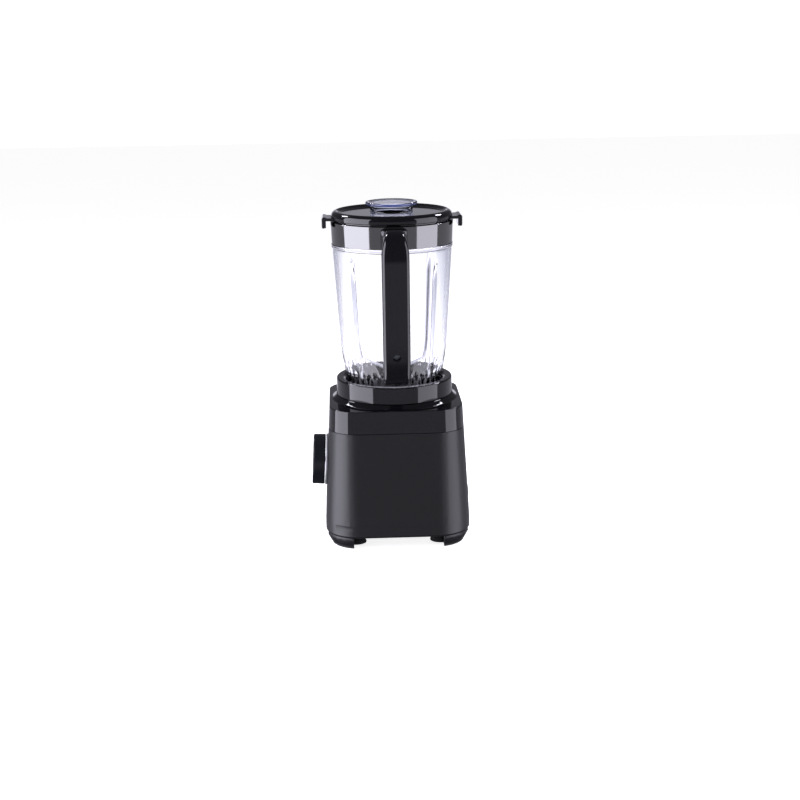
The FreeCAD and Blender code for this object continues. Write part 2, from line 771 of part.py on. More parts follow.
# knob, switch and power inlet

def makeControls():
    """Knob, silver ring, rotary switch and its nut; all stand square to the leaning wall."""
    knob = newBody("knob")
    low = "(ring_thickness + knob_gap)"
    top = f"({low} + knob_thickness)"
    turn(knob, [("0", f"{top} - 3"), ("stem_radius + lip_fit / 3", f"{top} - 3"),
                ("stem_radius + lip_fit / 3", low), ("knob_radius", low),
                ("knob_radius", f"{top} - knob_edge"), ("knob_radius - knob_edge", top),
                ("0", top)])
    mark = addRectangle(newSketch(knob, level=top), "-1", "1", "knob_radius - 11",
                        "knob_radius - 3")
    pocket(knob, mark, "0.6")
    onWall(knob, "knob_z")

    stem = newBody("switch_stem")
    turn(stem, [("0", "-casing_wall"), ("stem_radius", "-casing_wall"),
                ("stem_radius", f"{top} - 3 - lip_fit"), ("0", f"{top} - 3 - lip_fit")])
    onWall(stem, "knob_z")

    trim = ring("knob_ring", "nut_radius + lip_fit * 3", "ring_radius", "0.05",
                 "ring_thickness")
    onWall(trim, "knob_z")

    switch = newBody("speed_switch")
    back = "-casing_wall - lip_fit - switch_depth"
    case = addRectangle(newSketch(switch, level=back), "-switch_half", "switch_half",
                        "-switch_half", "switch_half")
    pad(switch, case, "switch_depth")
    thread = addCircle(newSketch(switch, level="-casing_wall - lip_fit"), "0", "0",
                       "thread_radius")
    pad(switch, thread, "casing_wall + lip_fit + nut_height")
    bore = addCircle(newSketch(switch, level="nut_height"), "0", "0",
                     "stem_radius + running_fit")
    pocket(switch, bore, "nut_height + casing_wall")
    onWall(switch, "knob_z")

    nut = newBody("switch_nut")
    hexagon = newSketch(nut, level="0.05")
    addPolygon(hexagon, [(f"nut_radius * cos({60 * i})", f"nut_radius * sin({60 * i})")
                         for i in range(6)])
    addCircle(hexagon, "0", "0", "thread_radius + thread_fit")
    pad(nut, hexagon, "nut_height - 0.05")
    onWall(nut, "knob_z")

    gland = newBody("cord_gland")
    turn(gland, [("gland_bore", "-casing_wall - 6"), ("gland_radius", "-casing_wall - 6"),
                 ("gland_radius", "0.05"), ("gland_flange", "0.05"), ("gland_flange", "1.2"),
                 ("gland_flange - 2", "3"), ("gland_bore", "3")])
    onWall(gland, "gland_z", front=False)


def boardHoles():
    """Where the four board screws stand, as formulas."""
    return [(f"board_x + {x} * (board_width / 2 - board_screw_inset)",
             f"board_y + {y} * (board_length / 2 - board_screw_inset)") for x, y in quarters]


def makeElectronics():
    """Control board on the tray's posts, with its screws and the three parts that stand on it."""
    low = "(tray_low_z + tray_floor + board_lift)"
    top = f"({low} + board_thickness)"
    board = block("control_board", ("board_x - board_width / 2", "board_x + board_width / 2"),
                  ("board_y - board_length / 2", "board_y + board_length / 2"), (low, top))
    holes = newSketch(board, level=top)
    for x, y in boardHoles():
        addCircle(holes, x, y, "screw_radius / 2 + thread_fit")
    pocket(board, holes, "board_thickness")
    screws = newBody("board_screws")
    heads = newSketch(screws, level=top)
    shanks = newSketch(screws, level=top)
    for x, y in boardHoles():
        addCircle(heads, x, y, "screw_radius")
        addCircle(shanks, x, y, "screw_radius / 2")
    pad(screws, heads, "screw_radius")
    pad(screws, shanks, "board_thickness", back=True)
    capacitor = newBody("filter_capacitor")
    can = addCircle(newSketch(capacitor, level=top), "board_x - 5", "board_y + 11", "6")
    pad(capacitor, can, "16")
    block("power_triac", ("board_x + 4", "board_x + 8"), ("board_y - 8", "board_y + 8"),
          (top, f"{top} + 18"))
    block("terminal_block", ("board_x - 9", "board_x + 3"), ("board_y - 19", "board_y - 9"),
          (top, f"{top} + 10"))


# motor

def makeStator():
    """Laminated stack with two poles, and one coil around each pole."""
    body = newBody("stator_core")
    plan = addRounded(newSketch(body, level="stator_low_z"), "2 * stator_half", "8")
    pad(body, plan, "stator_stack")
    bore = addCircle(newSketch(body, level="stator_top"), "0", "0", "stator_bore")
    pocket(body, bore, "stator_stack")
    window = addRectangle(newSketch(body, level="stator_top"), "window_in", "window_out",
                          "-window_half", "window_half")
    slot = addRectangle(newSketch(body, level="stator_top"), "stator_bore - 6", "window_in + 1",
                        "-8", "8")
    hole = addCircle(newSketch(body, level="stator_top"), "bolt_reach", "bolt_reach",
                     "screw_radius + screw_fit")
    cuts = [pocket(body, window, "stator_stack"), pocket(body, slot, "stator_stack")]
    aroundAxis(body, cuts, 2)
    aroundAxis(body, [pocket(body, hole, "stator_stack")], 4)
    for name, back in (("field_coil_front", True), ("field_coil_back", False)):
        coil = newBody(name)
        loop = newSketch(coil, "XZ_Plane", level="coil_near" if back else "-coil_near")
        addRectangle(loop, "-window_out + coil_fit", "window_out - coil_fit",
                     "stator_low_z - coil_overhang", "stator_top + coil_overhang")
        addRectangle(loop, "-window_in - coil_fit", "window_in + coil_fit",
                     "stator_low_z - coil_fit", "stator_top + coil_fit")
        pad(coil, loop, "coil_far - coil_near", back=not back)


def makeRotor():
    """Shaft, slotted core, windings, commutator, fan and the drive cup on top."""
    ring("motor_shaft", "0", "shaft_radius", "shaft_low_z", "cup_low_z + 0.3")
    core = ring("armature_core", "shaft_radius + running_fit", "stator_bore - air_gap",
                "stator_low_z", "stator_top")
    slots = newSketch(core, level="stator_top")
    addRectangle(slots, "stator_bore - air_gap - slot_depth", "stator_bore + 2",
                 "-slot_width / 2", "slot_width / 2")
    aroundAxis(core, [pocket(core, slots, "stator_stack")], "core_slots")
    windings = newBody("armature_windings")
    for low in ("stator_low_z - winding_overhang", "stator_top"):
        turn(windings, [("shaft_radius + 3", low), ("winding_radius", low),
                        ("winding_radius", f"{low} + winding_overhang"),
                        ("shaft_radius + 3", f"{low} + winding_overhang")])
    bars = newSketch(windings, level="stator_low_z")
    addRectangle(bars, "stator_bore - air_gap - slot_depth + 0.2", "winding_radius - 0.5",
                 "-slot_width / 2 + 0.2", "slot_width / 2 - 0.2")
    aroundAxis(windings, [pad(windings, bars, "stator_stack")], "core_slots")
    commutator = ring("commutator", "shaft_radius + running_fit", "commutator_radius",
                      "commutator_low_z", "commutator_low_z + commutator_length")
    gap = newSketch(commutator, level="commutator_low_z + commutator_length")
    addRectangle(gap, "commutator_radius - 2", "commutator_radius + 1", "-0.4", "0.4")
    aroundAxis(commutator, [pocket(commutator, gap, "commutator_length")], "core_slots * 2")
    fan = newBody("cooling_fan")
    turn(fan, [("shaft_radius + running_fit", "fan_low_z"), ("fan_radius", "fan_low_z"),
               ("fan_radius", "fan_low_z + 1.6"), ("shaft_radius + 5", "fan_low_z + 1.6"),
               ("shaft_radius + 5", "fan_low_z + fan_height"),
               ("shaft_radius + running_fit", "fan_low_z + fan_height")])
    vane = newSketch(fan, level="fan_low_z + 1")
    addPolygon(vane, [("shaft_radius + 4", "-0.9"), ("fan_radius * 0.6", "-2.6"),
                      ("fan_radius - 1", "-9"), ("fan_radius - 1", "-7"),
                      ("fan_radius * 0.6", "-0.8"), ("shaft_radius + 4", "0.9")])
    aroundAxis(fan, [pad(fan, vane, "fan_height - 1")], "fan_vanes")
    makeCup()


def makeCup():
    """Drive cup on the shaft's top end: a socket with a slot for each tooth of the jar's dog."""
    body = newBody("drive_coupling")
    floor = "(cup_low_z + cup_floor)"
    turn(body, [("shaft_radius + running_fit", "well_z - well_floor + 1.5"),
                ("hub_radius", "well_z - well_floor + 1.5"), ("hub_radius", "cup_low_z"),
                ("cup_radius", "cup_low_z"), ("cup_radius", "cup_top_z"),
                ("dog_radius + dog_fit", "cup_top_z"), ("dog_radius + dog_fit", floor),
                ("0", floor), ("0", "cup_low_z + 0.3"),
                ("shaft_radius + running_fit", "cup_low_z + 0.3")])
    slot = newSketch(body, level="cup_top_z")
    addRectangle(slot, "dog_radius - 1", "dog_reach + dog_fit",
                 "-tooth_width / 2 - dog_fit", "tooth_width / 2 + dog_fit")
    aroundAxis(body, [pocket(body, slot, f"cup_top_z - {floor}")], "dog_teeth")


def makeBracket(name, plate_low, post_low, post_high, hub_low):
    """Cross-shaped end bracket with a bearing hub and four posts that meet the stator."""
    body = newBody(name)
    arms = newSketch(body, level=plate_low)
    addRounded(arms, "2 * stator_half", "8")
    pad(body, arms, "bracket_plate")
    hub = addCircle(newSketch(body, level=hub_low), "0", "0", "bearing_radius + hub_wall")
    pad(body, hub, "bearing_width + casing_wall / 2")
    opening = newSketch(body, level=f"{plate_low} + bracket_plate")
    near, far = "bearing_radius + hub_wall + 1.5", "stator_half + 1"
    addPolygon(opening, [(near, f"-({near} - 9)"), (far, f"-({far} - 14)"),
                         (far, f"{far} - 14"), (near, f"{near} - 9")])
    aroundAxis(body, [pocket(body, opening, "bracket_plate")], 4)
    post = addCircle(newSketch(body, level=post_low), "bolt_reach", "bolt_reach", "post_radius")
    aroundAxis(body, [pad(body, post, f"{post_high} - ({post_low})")], 4)
    hole = addCircle(newSketch(body, level=f"{post_high} + 50"), "bolt_reach", "bolt_reach",
                     "screw_radius + screw_fit")
    aroundAxis(body, [pocket(body, hole, "200")], 4)
    seat = addCircle(newSketch(body, level=hub_low), "0", "0", "bearing_radius + running_fit")
    pocket(body, seat, "bearing_width", back=True)
    throat = addCircle(newSketch(body, level=hub_low), "0", "0", "shaft_radius + 3")
    pocket(body, throat, "50", back=True)
    return body


def makeMotorFrame():
    """End brackets with their bearings, the brush gear, the long bolts and the rubber mounts."""
    upper_hub = "(upper_bracket_z - 1.5)"
    lower_hub = "(lower_bracket_z - 2.5)"
    makeBracket("upper_bracket", "upper_bracket_z", "stator_top", "upper_bracket_z + 1", upper_hub)
    makeBracket("lower_bracket", "lower_bracket_z", "lower_bracket_z + 1", "stator_low_z",
                lower_hub)
    for name, low in (("upper_bearing", upper_hub), ("lower_bearing", lower_hub)):
        bearing = newBody(name)
        high = f"({low} + bearing_width)"
        turn(bearing, [("shaft_radius + running_fit", low), ("bearing_radius", low),
                       ("bearing_radius", high), ("bearing_radius - 2", high),
                       ("bearing_radius - 2", f"{high} - 0.5"),
                       ("shaft_radius + 2", f"{high} - 0.5"), ("shaft_radius + 2", high),
                       ("shaft_radius + running_fit", high)])
    middle = "(commutator_low_z + commutator_length / 2)"
    for name, side in (("left", -1), ("right", 1)):
        start = "(commutator_radius + brush_gap)"
        spans = (f"{side} * {start}", f"{side} * ({start} + brush_length)")
        block("carbon_brush_" + name, spans[::side], ("-brush_width / 2", "brush_width / 2"),
              (f"{middle} - brush_width / 2", f"{middle} + brush_width / 2"))
        makeHolder("brush_holder_" + name, side, middle)
    bolts = newBody("motor_bolts")
    bolt_top = "upper_bracket_z + bracket_plate + grommet_height + bolt_depth"
    bolt = turn(bolts, screwProfile("lower_bracket_z - screw_head", bolt_top),
                at=("bolt_reach", "bolt_reach"))
    aroundAxis(bolts, [bolt], 4)
    mounts = newBody("vibration_mounts")
    low = "(upper_bracket_z + bracket_plate)"
    grommet = turn(mounts, [("screw_radius + screw_fit", low), ("grommet_radius", low),
                            ("grommet_radius - 1.5", f"{low} + grommet_height / 2"),
                            ("grommet_radius", f"{low} + grommet_height"),
                            ("screw_radius + screw_fit", f"{low} + grommet_height")],
                   at=("bolt_reach", "bolt_reach"))
    aroundAxis(mounts, [grommet], 4)
    seal = newBody("shaft_splash_seal")
    turn(seal, [("hub_radius + 0.5", "well_z - well_floor"), ("seal_radius", "well_z - well_floor"),
                ("seal_radius", "well_z"), ("seal_flange", "well_z"),
                ("seal_flange", "well_z + 1.2"), ("hub_radius + 0.5", "well_z + 1.2")])


def makeHolder(name, side, middle):
    """Square brass tube around a brush, hung from the upper bracket by a short web."""
    body = newBody(name)
    half = "(brush_width / 2 + 0.2 + holder_wall)"
    end = "(commutator_radius + brush_length + 5)"
    tube = newSketch(body, "YZ_Plane", level=f"{side} * (commutator_radius + 2.5)")
    addRectangle(tube, f"-{half}", half, f"{middle} - {half}", f"{middle} + {half}")
    addRectangle(tube, "-brush_width / 2 - 0.2", "brush_width / 2 + 0.2",
                 f"{middle} - brush_width / 2 - 0.2", f"{middle} + brush_width / 2 + 0.2")
    pad(body, tube, f"{end} - commutator_radius - 2.5", back=side < 0)
    web = newSketch(body, level=f"{middle} + {half} - 0.3")
    spans = (f"{side} * ({end} - 4)", f"{side} * {end}")[::side]
    addRectangle(web, spans[0], spans[1], "-14", "14")
    pad(body, web, f"upper_bracket_z - {middle} - {half} + 0.3")


# interlock

def makeInterlock():
    """Sprung pin that the jar's collar holds down, with its switch and the bracket under it."""
    top = "(bracket_z + bracket_thickness)"
    pin = newBody("interlock_pin")
    flange_low = "(guide_low_z - pin_travel - 2.5)"
    turn(pin, [("0", "bracket_z + 0.2"), ("pin_radius - 0.6", "bracket_z + 0.2"),
               ("pin_radius - 0.6", flange_low), ("pin_flange", flange_low),
               ("pin_flange", f"{flange_low} + 2"), ("pin_radius", f"{flange_low} + 2"),
               ("pin_radius", "seat_z - 0.3"), ("0", "seat_z - 0.3")], at=("0", "-pin_reach"))
    plate = block("interlock_bracket", ("-bracket_half - 5", "bracket_half + 5"),
                  ("-pin_reach - 6", "-pin_reach + 6"), ("bracket_z", top))
    holes = newSketch(plate, level=top)
    addCircle(holes, "0", "-pin_reach", "pin_radius")
    for side in (-1, 1):
        addCircle(holes, f"{side} * bracket_half", "-pin_reach", "screw_radius / 2 + thread_fit")
    pocket(plate, holes, "bracket_thickness")
    screws = newBody("bracket_screws")
    heads = newSketch(screws, level="bracket_z")
    shanks = newSketch(screws, level="bracket_z")
    for side in (-1, 1):
        addCircle(heads, f"{side} * bracket_half", "-pin_reach", "screw_radius")
        addCircle(shanks, f"{side} * bracket_half", "-pin_reach", "screw_radius / 2")
    pad(screws, heads, "screw_radius", back=True)
    pad(screws, shanks, "bracket_thickness + screw_head * 2")
    block("interlock_switch", ("-bracket_half + 3.5", "bracket_half - 3.5"),
          ("-pin_reach - 3.5", "-pin_reach + 3.5"), ("bracket_z - 10", "bracket_z"))
    low = size("bracket_z") + size("bracket_thickness") + size("spring_wire") + 0.05
    high = size("guide_low_z") - size("pin_travel") - 2.5 - size("spring_wire") - 0.05
    pitch = (high - low) / size("spring_turns")
    helix = Part.makeHelix(pitch, high - low, size("spring_radius"))
    section = Part.Wire(Part.Circle(Vector(size("spring_radius"), 0, 0), Vector(0, 1, 0),
                                    size("spring_wire")).toShape())
    spring = doc.addObject("Part::Feature", "interlock_spring")
    spring.Label = "interlock_spring"
    spring.Shape = Part.Wire(helix.Edges).makePipeShell([section], True, True)
    spring.Placement = Placement(Vector(0, -size("pin_reach"), low), Rotation())
    nodes.append(spring)


# jar

def makeCollar():
    """Gloss ring at the jar's foot: it holds the blade carrier and centres the jar on the base."""
    body = newBody("jar_collar")
    low = "(seat_z + seat_gap)"
    spigot_low = f"({low} - spigot_depth)"
    turn(body, [("spigot_radius - spigot_wall", spigot_low), ("spigot_radius", spigot_low),
                ("spigot_radius", low), ("collar_radius", low),
                ("collar_radius", "collar_top_z"), ("collar_lip", "collar_top_z"),
                ("collar_bore", "collar_top_z - collar_lip + collar_bore"),
                ("collar_bore", "ledge_z"), ("ledge_radius", "ledge_z"),
                ("ledge_radius", "ledge_z - ledge_thickness"),
                ("spigot_radius - spigot_wall", "ledge_z - ledge_thickness")])
    soften(body, "1", circleAt(size("collar_radius"), size("collar_top_z")))


def makeJar():
    """Clear jar: a short foot, a curved waist, a long cone, a bead, a rim and four flow ribs."""
    body = newBody("jar_body")
    low = "(ledge_z + carrier_flange + gasket_height)"
    bead_top = "(flange_z + flange_height)"
    turn(body, [("foot_outer - jar_wall", low), ("foot_outer", low),
                ("foot_outer", "foot_top_z"), ("waist_radius", "waist_z"),
                ("jar_top_radius", "flange_z"), ("flange_radius", "flange_z"),
                ("flange_radius", bead_top), ("rim_radius", bead_top),
                ("rim_radius", "jar_top_z"), ("rim_radius - jar_wall", "jar_top_z"),
                ("rim_radius - jar_wall", bead_top), ("jar_top_radius - jar_wall", "flange_z"),
                ("waist_radius - jar_wall", "waist_z"),
                ("foot_outer - jar_wall", "foot_top_z")])
    for thickness in (0, size("jar_wall")):
        waist = circleAt(size("waist_radius") - thickness, size("waist_z"))
        soften(body, "200", waist)
        turn_in = circleAt(size("foot_outer") - thickness, size("foot_top_z"))
        soften(body, "50", turn_in)
    foot_slope = "(waist_radius - foot_outer) / (waist_z - foot_top_z)"
    low_r = f"(foot_outer + (rib_low_z - foot_top_z) * {foot_slope} - jar_wall)"
    high_r = f"({jarRadius('rib_high_z')} - jar_wall)"
    rib = newSketch(body, "XZ_Plane", turn=45)
    addPolygon(rib, [(f"{low_r} + 1.2", "rib_low_z"), (f"{low_r} - rib_depth + 1.5", "rib_low_z"),
                     ("waist_radius - jar_wall - rib_depth", "waist_z"),
                     (f"{high_r} - rib_depth", "rib_high_z - rib_depth * 2"),
                     (f"{high_r} + 1.2", "rib_high_z"),
                     ("waist_radius - jar_wall + 0.8", "waist_z")])
    aroundAxis(body, [pad(body, rib, "rib_width", both=True)], 4)
    lug = newSketch(body, "YZ_Plane", level=f"{jarRadius('lug_z')} - jar_wall / 2")
    addCircle(lug, "0", "lug_z", "lug_radius")
    pad(body, lug, f"lug_reach - {jarRadius('lug_z')} + jar_wall / 2")
    hole = newSketch(body, "YZ_Plane", level="lug_reach")
    addCircle(hole, "0", "lug_z", "screw_radius + thread_fit")
    pocket(body, hole, f"lug_reach - {jarRadius('lug_z')}")


def makeRimBand():
    body = newBody("rim_band")
    turn(body, [("rim_radius + band_fit", "band_low_z"), ("band_low_radius", "band_low_z"),
                ("band_top_radius", "band_high_z"), ("rim_radius + band_fit", "band_high_z")])
    hole = newSketch(body, "YZ_Plane", level="band_top_radius + 1")
    addCircle(hole, "0", "(band_low_z + band_high_z) / 2", "screw_radius + screw_fit")
    pocket(body, hole, "10")


def makeHandle():
    """Open-ended grip: a neck on the rim band, a bevelled bar and a foot screwed to the jar."""
    body = newBody("handle")
    inner = "(grip_front_x - grip_depth)"
    profile = [("band_low_radius - 5", "band_low_z + 2.5"),
               ("band_low_radius - 5", "band_high_z - 1"),
               ("grip_front_x - 27", "band_high_z - 1.5"),
               ("grip_front_x - 15", "band_high_z"),
               ("grip_front_x - 3", "band_high_z - 12"),
               ("grip_front_x", "band_high_z - 34"),
               ("grip_front_x - 3", "lug_z + 19"),
               ("grip_front_x - 6", "lug_z - 12"),
               ("grip_front_x - 12", "lug_z - 30"),
               ("grip_front_x - 21", "lug_z - 33.5"),
               ("grip_front_x - 28", "lug_z - 28"),
               ("grip_front_x - 30", "lug_z - lug_radius - 4"),
               ("waist_radius - 3", "lug_z - lug_radius - 4"),
               ("waist_radius - 3", "lug_z + lug_radius + 4"),
               (f"{inner} - 9", "lug_z + lug_radius + 5"),
               (f"{inner} - 2.5", "lug_z + 22"),
               (f"{inner}", "band_high_z - 50"),
               (f"{inner} - 2", "band_high_z - 33"),
               (f"{inner} - 10", "band_low_z + 1")]
    side = addPolygon(newSketch(body, "XZ_Plane"), profile)
    pad(body, side, "grip_width", both=True)
    doc.recompute()
    corners = [side.Geometry[i].StartPoint for i in range(len(profile))]
    rounded = {3: "6", 4: "14", 5: "60", 7: "30", 8: "10", 9: "5", 10: "5", 11: "4", 14: "6",
               15: "12", 16: "60", 17: "12", 18: "6"}
    for index, radius in rounded.items():
        spot = corners[index]

        def alongCorner(edge, spot=spot):
            begin, end = edge.Vertexes[0].Point, edge.Vertexes[-1].Point
            same = [abs(p.x - spot.x) < 0.01 and abs(p.z - spot.y) < 0.01 for p in (begin, end)]
            return all(same)
        soften(body, radius, alongCorner)
    half = size("grip_width") / 2
    inner_x = size("grip_front_x") - size("grip_depth")

    def outerRim(edge):
        spots = [edge.valueAt(edge.FirstParameter + share * (edge.LastParameter
                                                             - edge.FirstParameter))
                 for share in (0.0, 0.5, 1.0)]
        flat = all(abs(abs(spot.y) - half) < 0.01 for spot in spots)
        outside = all(spot.x > inner_x + 1 or spot.z > size("band_high_z") - 2
                      or spot.z < size("lug_z") - 20 for spot in spots)
        return flat and outside
    soften(body, "grip_bevel", outerRim, kind="Chamfer")
    fit = "band_fit"
    turn(body, [("0", "foot_top_z"), (f"foot_outer + 2 * {fit}", "foot_top_z"),
                (f"waist_radius + {fit}", "waist_z"),
                (f"jar_top_radius + {fit}", "flange_z"), (f"flange_radius + {fit}", "flange_z"),
                (f"flange_radius + {fit}", "band_low_z"),
                ("band_low_radius + 0.1", "band_low_z"), ("band_top_radius + 0.1", "band_high_z"),
                ("band_top_radius + 0.1", "band_high_z + 20"), ("0", "band_high_z + 20")],
         cut=True)
    socket = newSketch(body, "YZ_Plane", level=f"lug_reach + {fit}")
    addCircle(socket, "0", "lug_z", f"lug_radius + {fit}")
    pocket(body, socket, "20")
    passage = newSketch(body, "YZ_Plane", level="grip_front_x + 2")
    addCircle(passage, "0", "lug_z", "screw_radius + screw_fit")
    pocket(body, passage, "grip_front_x - lug_reach + 4")
    recess = newSketch(body, "YZ_Plane", level="grip_front_x + 2")
    addCircle(recess, "0", "lug_z", "screw_recess")
    pocket(body, recess, "recess_depth + 2")
    upper = newSketch(body, "YZ_Plane", level="band_top_radius - 2")
    addCircle(upper, "0", "(band_low_z + band_high_z) / 2", "screw_radius + thread_fit")
    pocket(body, upper, "stud_length + 2", back=True)


def makeHandleScrews():
    """A long screw through the grip into the jar's lug, and a short one out through the band."""
    body = newBody("handle_screws")
    low_head = "(grip_front_x - recess_depth)"
    head = addCircle(newSketch(body, "YZ_Plane", level=low_head), "0", "lug_z",
                     "screw_head_radius")
    pad(body, head, "screw_head")
    shank = addCircle(newSketch(body, "YZ_Plane", level=low_head), "0", "lug_z", "screw_radius")
    pad(body, shank, f"{low_head} - {jarRadius('lug_z')} - 1", back=True)
    stud = addCircle(newSketch(body, "YZ_Plane", level="rim_radius + 0.1"), "0",
                     "(band_low_z + band_high_z) / 2", "screw_radius")
    pad(body, stud, "stud_length")


def makeCarrier():
    """Blade carrier with its bush, shaft seal and the gasket under the jar's foot."""
    body = newBody("blade_carrier")
    flange_top = "(ledge_z + carrier_flange)"
    edge = "(foot_outer + band_fit)"
    turn(body, [("shaft_radius + 3", "ledge_z + 1"), ("shaft_radius + 7", "ledge_z + 1"),
                ("shaft_radius + 7", "carrier_hub_z - 8"),
                ("ledge_radius - 4", f"{flange_top} - 1.5"), ("ledge_radius - 1", "ledge_z"),
                (edge, "ledge_z"), (edge, flange_top), ("foot_outer - 9", flange_top),
                ("ledge_radius - 4", f"{flange_top} + 1"),
                ("shaft_radius + 10", "carrier_hub_z - 3"),
                ("shaft_radius + 8", "carrier_hub_z"), ("shaft_radius + 3", "carrier_hub_z")])
    ring("jar_gasket", f"{edge} - gasket_width", edge, flange_top,
         f"{flange_top} + gasket_height")
    bush = newBody("shaft_bush")
    turn(bush, [("shaft_radius + running_fit", "ledge_z + 1"),
                ("shaft_radius + 2.95", "ledge_z + 1"), ("shaft_radius + 2.95", "carrier_hub_z"),
                ("shaft_radius + 5", "carrier_hub_z"), ("shaft_radius + 5", "carrier_hub_z + 1"),
                ("shaft_radius + running_fit", "carrier_hub_z + 1")])
    ring("shaft_seal", "shaft_radius + 0.2", "shaft_radius + 3", "carrier_hub_z + 1",
         "carrier_hub_z + 2.5")


def makeBlades():
    """Blade shaft, its dog, two crossed blade strips and the nut that clamps them."""
    ring("blade_shaft", "0", "shaft_radius", "cup_low_z + cup_floor + 1.5", "nut_top_z - 2")
    dog = ring("drive_dog", "shaft_radius + running_fit", "dog_radius",
               "cup_low_z + cup_floor + 0.4", "dog_top_z")
    tooth = newSketch(dog, level="cup_low_z + cup_floor + 0.4")
    addRectangle(tooth, "dog_radius - 1.5", "dog_reach", "-tooth_width / 2", "tooth_width / 2")
    length = "dog_top_z - cup_low_z - cup_floor - 0.4"
    aroundAxis(dog, [pad(dog, tooth, length)], "dog_teeth")
    makeStrip("lower_blades", "blade_z", "lower_tip_z", "XZ_Plane")
    makeStrip("upper_blades", "(blade_z + blade_thickness)", "upper_tip_z", "YZ_Plane")
    nut = newBody("blade_nut")
    plate_top = "(blade_z + 2 * blade_thickness)"
    hexagon = newSketch(nut, level=plate_top)
    addPolygon(hexagon, [(f"nut_flat * cos({60 * i})", f"nut_flat * sin({60 * i})")
                         for i in range(6)])
    pad(nut, hexagon, f"nut_top_z - 3 - {plate_top}")
    turn(nut, [("0", "nut_top_z - 4"), ("nut_flat - 1.2", "nut_top_z - 4"),
               ("nut_flat - 1.2", "nut_top_z - 3"), ("nut_flat - 2.8", "nut_top_z - 1"),
               ("0", "nut_top_z")])
    bore = addCircle(newSketch(nut, level=plate_top), "0", "0", "shaft_radius + running_fit")
    pocket(nut, bore, f"nut_top_z - 1.9 - {plate_top}", back=True)


def makeStrip(name, low, tip_z, role):
    """One strip with two wings that bend up or down to pointed tips."""
    body = newBody(name)
    top = f"({low} + blade_thickness)"
    upwards = "upper" in name
    tip = tip_z if upwards else f"({tip_z} + blade_thickness)"
    tip_low = f"({tip_z} - blade_thickness)" if upwards else tip_z
    half = [("0", low), ("blade_flat", low), ("blade_reach", tip_low), ("blade_reach", tip),
            ("blade_flat", top), ("0", top)]
    mirrored = [(f"-{x}", z) for x, z in half[4:0:-1]]
    side = addPolygon(newSketch(body, role), half[1:5] + mirrored)
    pad(body, side, "blade_width", both=True)
    corners = newSketch(body, level=f"{top} + 20")
    for x in (-1, 1):
        for y in (-1, 1):
            spots = [(f"{x} * (blade_reach + 1)", f"{y} * (blade_width / 2 + 1)"),
                     (f"{x} * (blade_reach + 1)", f"{y} * 1.2"),
                     (f"{x} * (blade_flat + 4)", f"{y} * (blade_width / 2 + 1)")]
            if role == "YZ_Plane":
                spots = [(second, first) for first, second in spots]
            addPolygon(corners, spots)
    pocket(body, corners, "60")
    bore = addCircle(newSketch(body, level=top), "0", "0", "shaft_radius + running_fit")
    pocket(body, bore, "blade_thickness")


def makeLid():
    """Press-in lid with a rolled rim, a filler hole, two finger tabs and its sealing ring."""
    body = newBody("lid")
    skirt_low = "(band_high_z + lid_gap)"
    under = "(lid_plate_z - lid_plate)"
    turn(body, [("filler_radius", f"{under} - 6"), ("filler_radius + lid_plate", f"{under} - 6"),
                ("filler_radius + lid_plate", under), ("plug_radius - plug_wall", under),
                ("plug_radius - plug_wall", "plug_low_z"), ("plug_radius", "plug_low_z"),
                ("plug_radius", "plug_low_z + 3"), ("plug_radius - 1", "plug_low_z + 3"),
                ("plug_radius - 1", "plug_low_z + 6"), ("plug_radius", "plug_low_z + 6"),
                ("plug_radius", skirt_low), ("lid_radius", skirt_low),
                ("lid_radius", "lid_top_z - 5.5"), ("lid_radius - 1.8", "lid_top_z - 1.6"),
                ("lid_radius - 4", "lid_top_z"), ("lid_radius - 6.5", "lid_top_z"),
                ("lid_radius - 9.5", "lid_plate_z"), ("filler_radius", "lid_plate_z")])
    tab = newSketch(body, "YZ_Plane")
    addPolygon(tab, [("lid_radius - 3", "tab_top_z - tab_thickness"),
                     ("tab_reach - tab_thickness", "tab_top_z - tab_thickness"),
                     ("tab_reach - tab_thickness", "tab_lip_z"), ("tab_reach", "tab_lip_z"),
                     ("tab_reach", "tab_top_z - 1.5"), ("tab_reach - 1.5", "tab_top_z"),
                     ("lid_radius - 3", "tab_top_z")])
    aroundAxis(body, [pad(body, tab, "tab_width", both=True)], 2)
    sealing = newBody("lid_gasket")
    turn(sealing, [("plug_radius - 0.9", "plug_low_z + 3.1"),
                   ("plug_radius + 0.4", "plug_low_z + 3.1"),
                   ("rim_radius - jar_wall - seal_squeeze", "plug_low_z + 4"),
                   ("rim_radius - jar_wall - seal_squeeze", "plug_low_z + 5"),
                   ("plug_radius + 0.4", "plug_low_z + 5.9"),
                   ("plug_radius - 0.9", "plug_low_z + 5.9")])


def makeCap():
    """Clear measuring cap: an upside-down cup with a wide flange on top."""
    body = newBody("measuring_cap")
    shoulder = "(lid_plate_z + seat_gap)"
    turn(body, [("cap_plug_radius - cap_wall", "cap_low_z"), ("cap_plug_radius", "cap_low_z"),
                ("cap_plug_radius", shoulder), ("cap_body_radius", shoulder),
                ("cap_body_radius", "cap_flange_z"), ("cap_flange_radius", "cap_flange_z"),
                ("cap_flange_radius", "cap_top_z - 0.8"),
                ("cap_flange_radius - 0.8", "cap_top_z"), ("cap_flange_radius - 4", "cap_top_z"),
                ("cap_flange_radius - 6", "cap_top_z - 1"), ("0", "cap_top_z - 1"),
                ("0", "cap_top_z - 1 - cap_wall"),
                ("cap_plug_radius - cap_wall", "cap_top_z - 1 - cap_wall")])


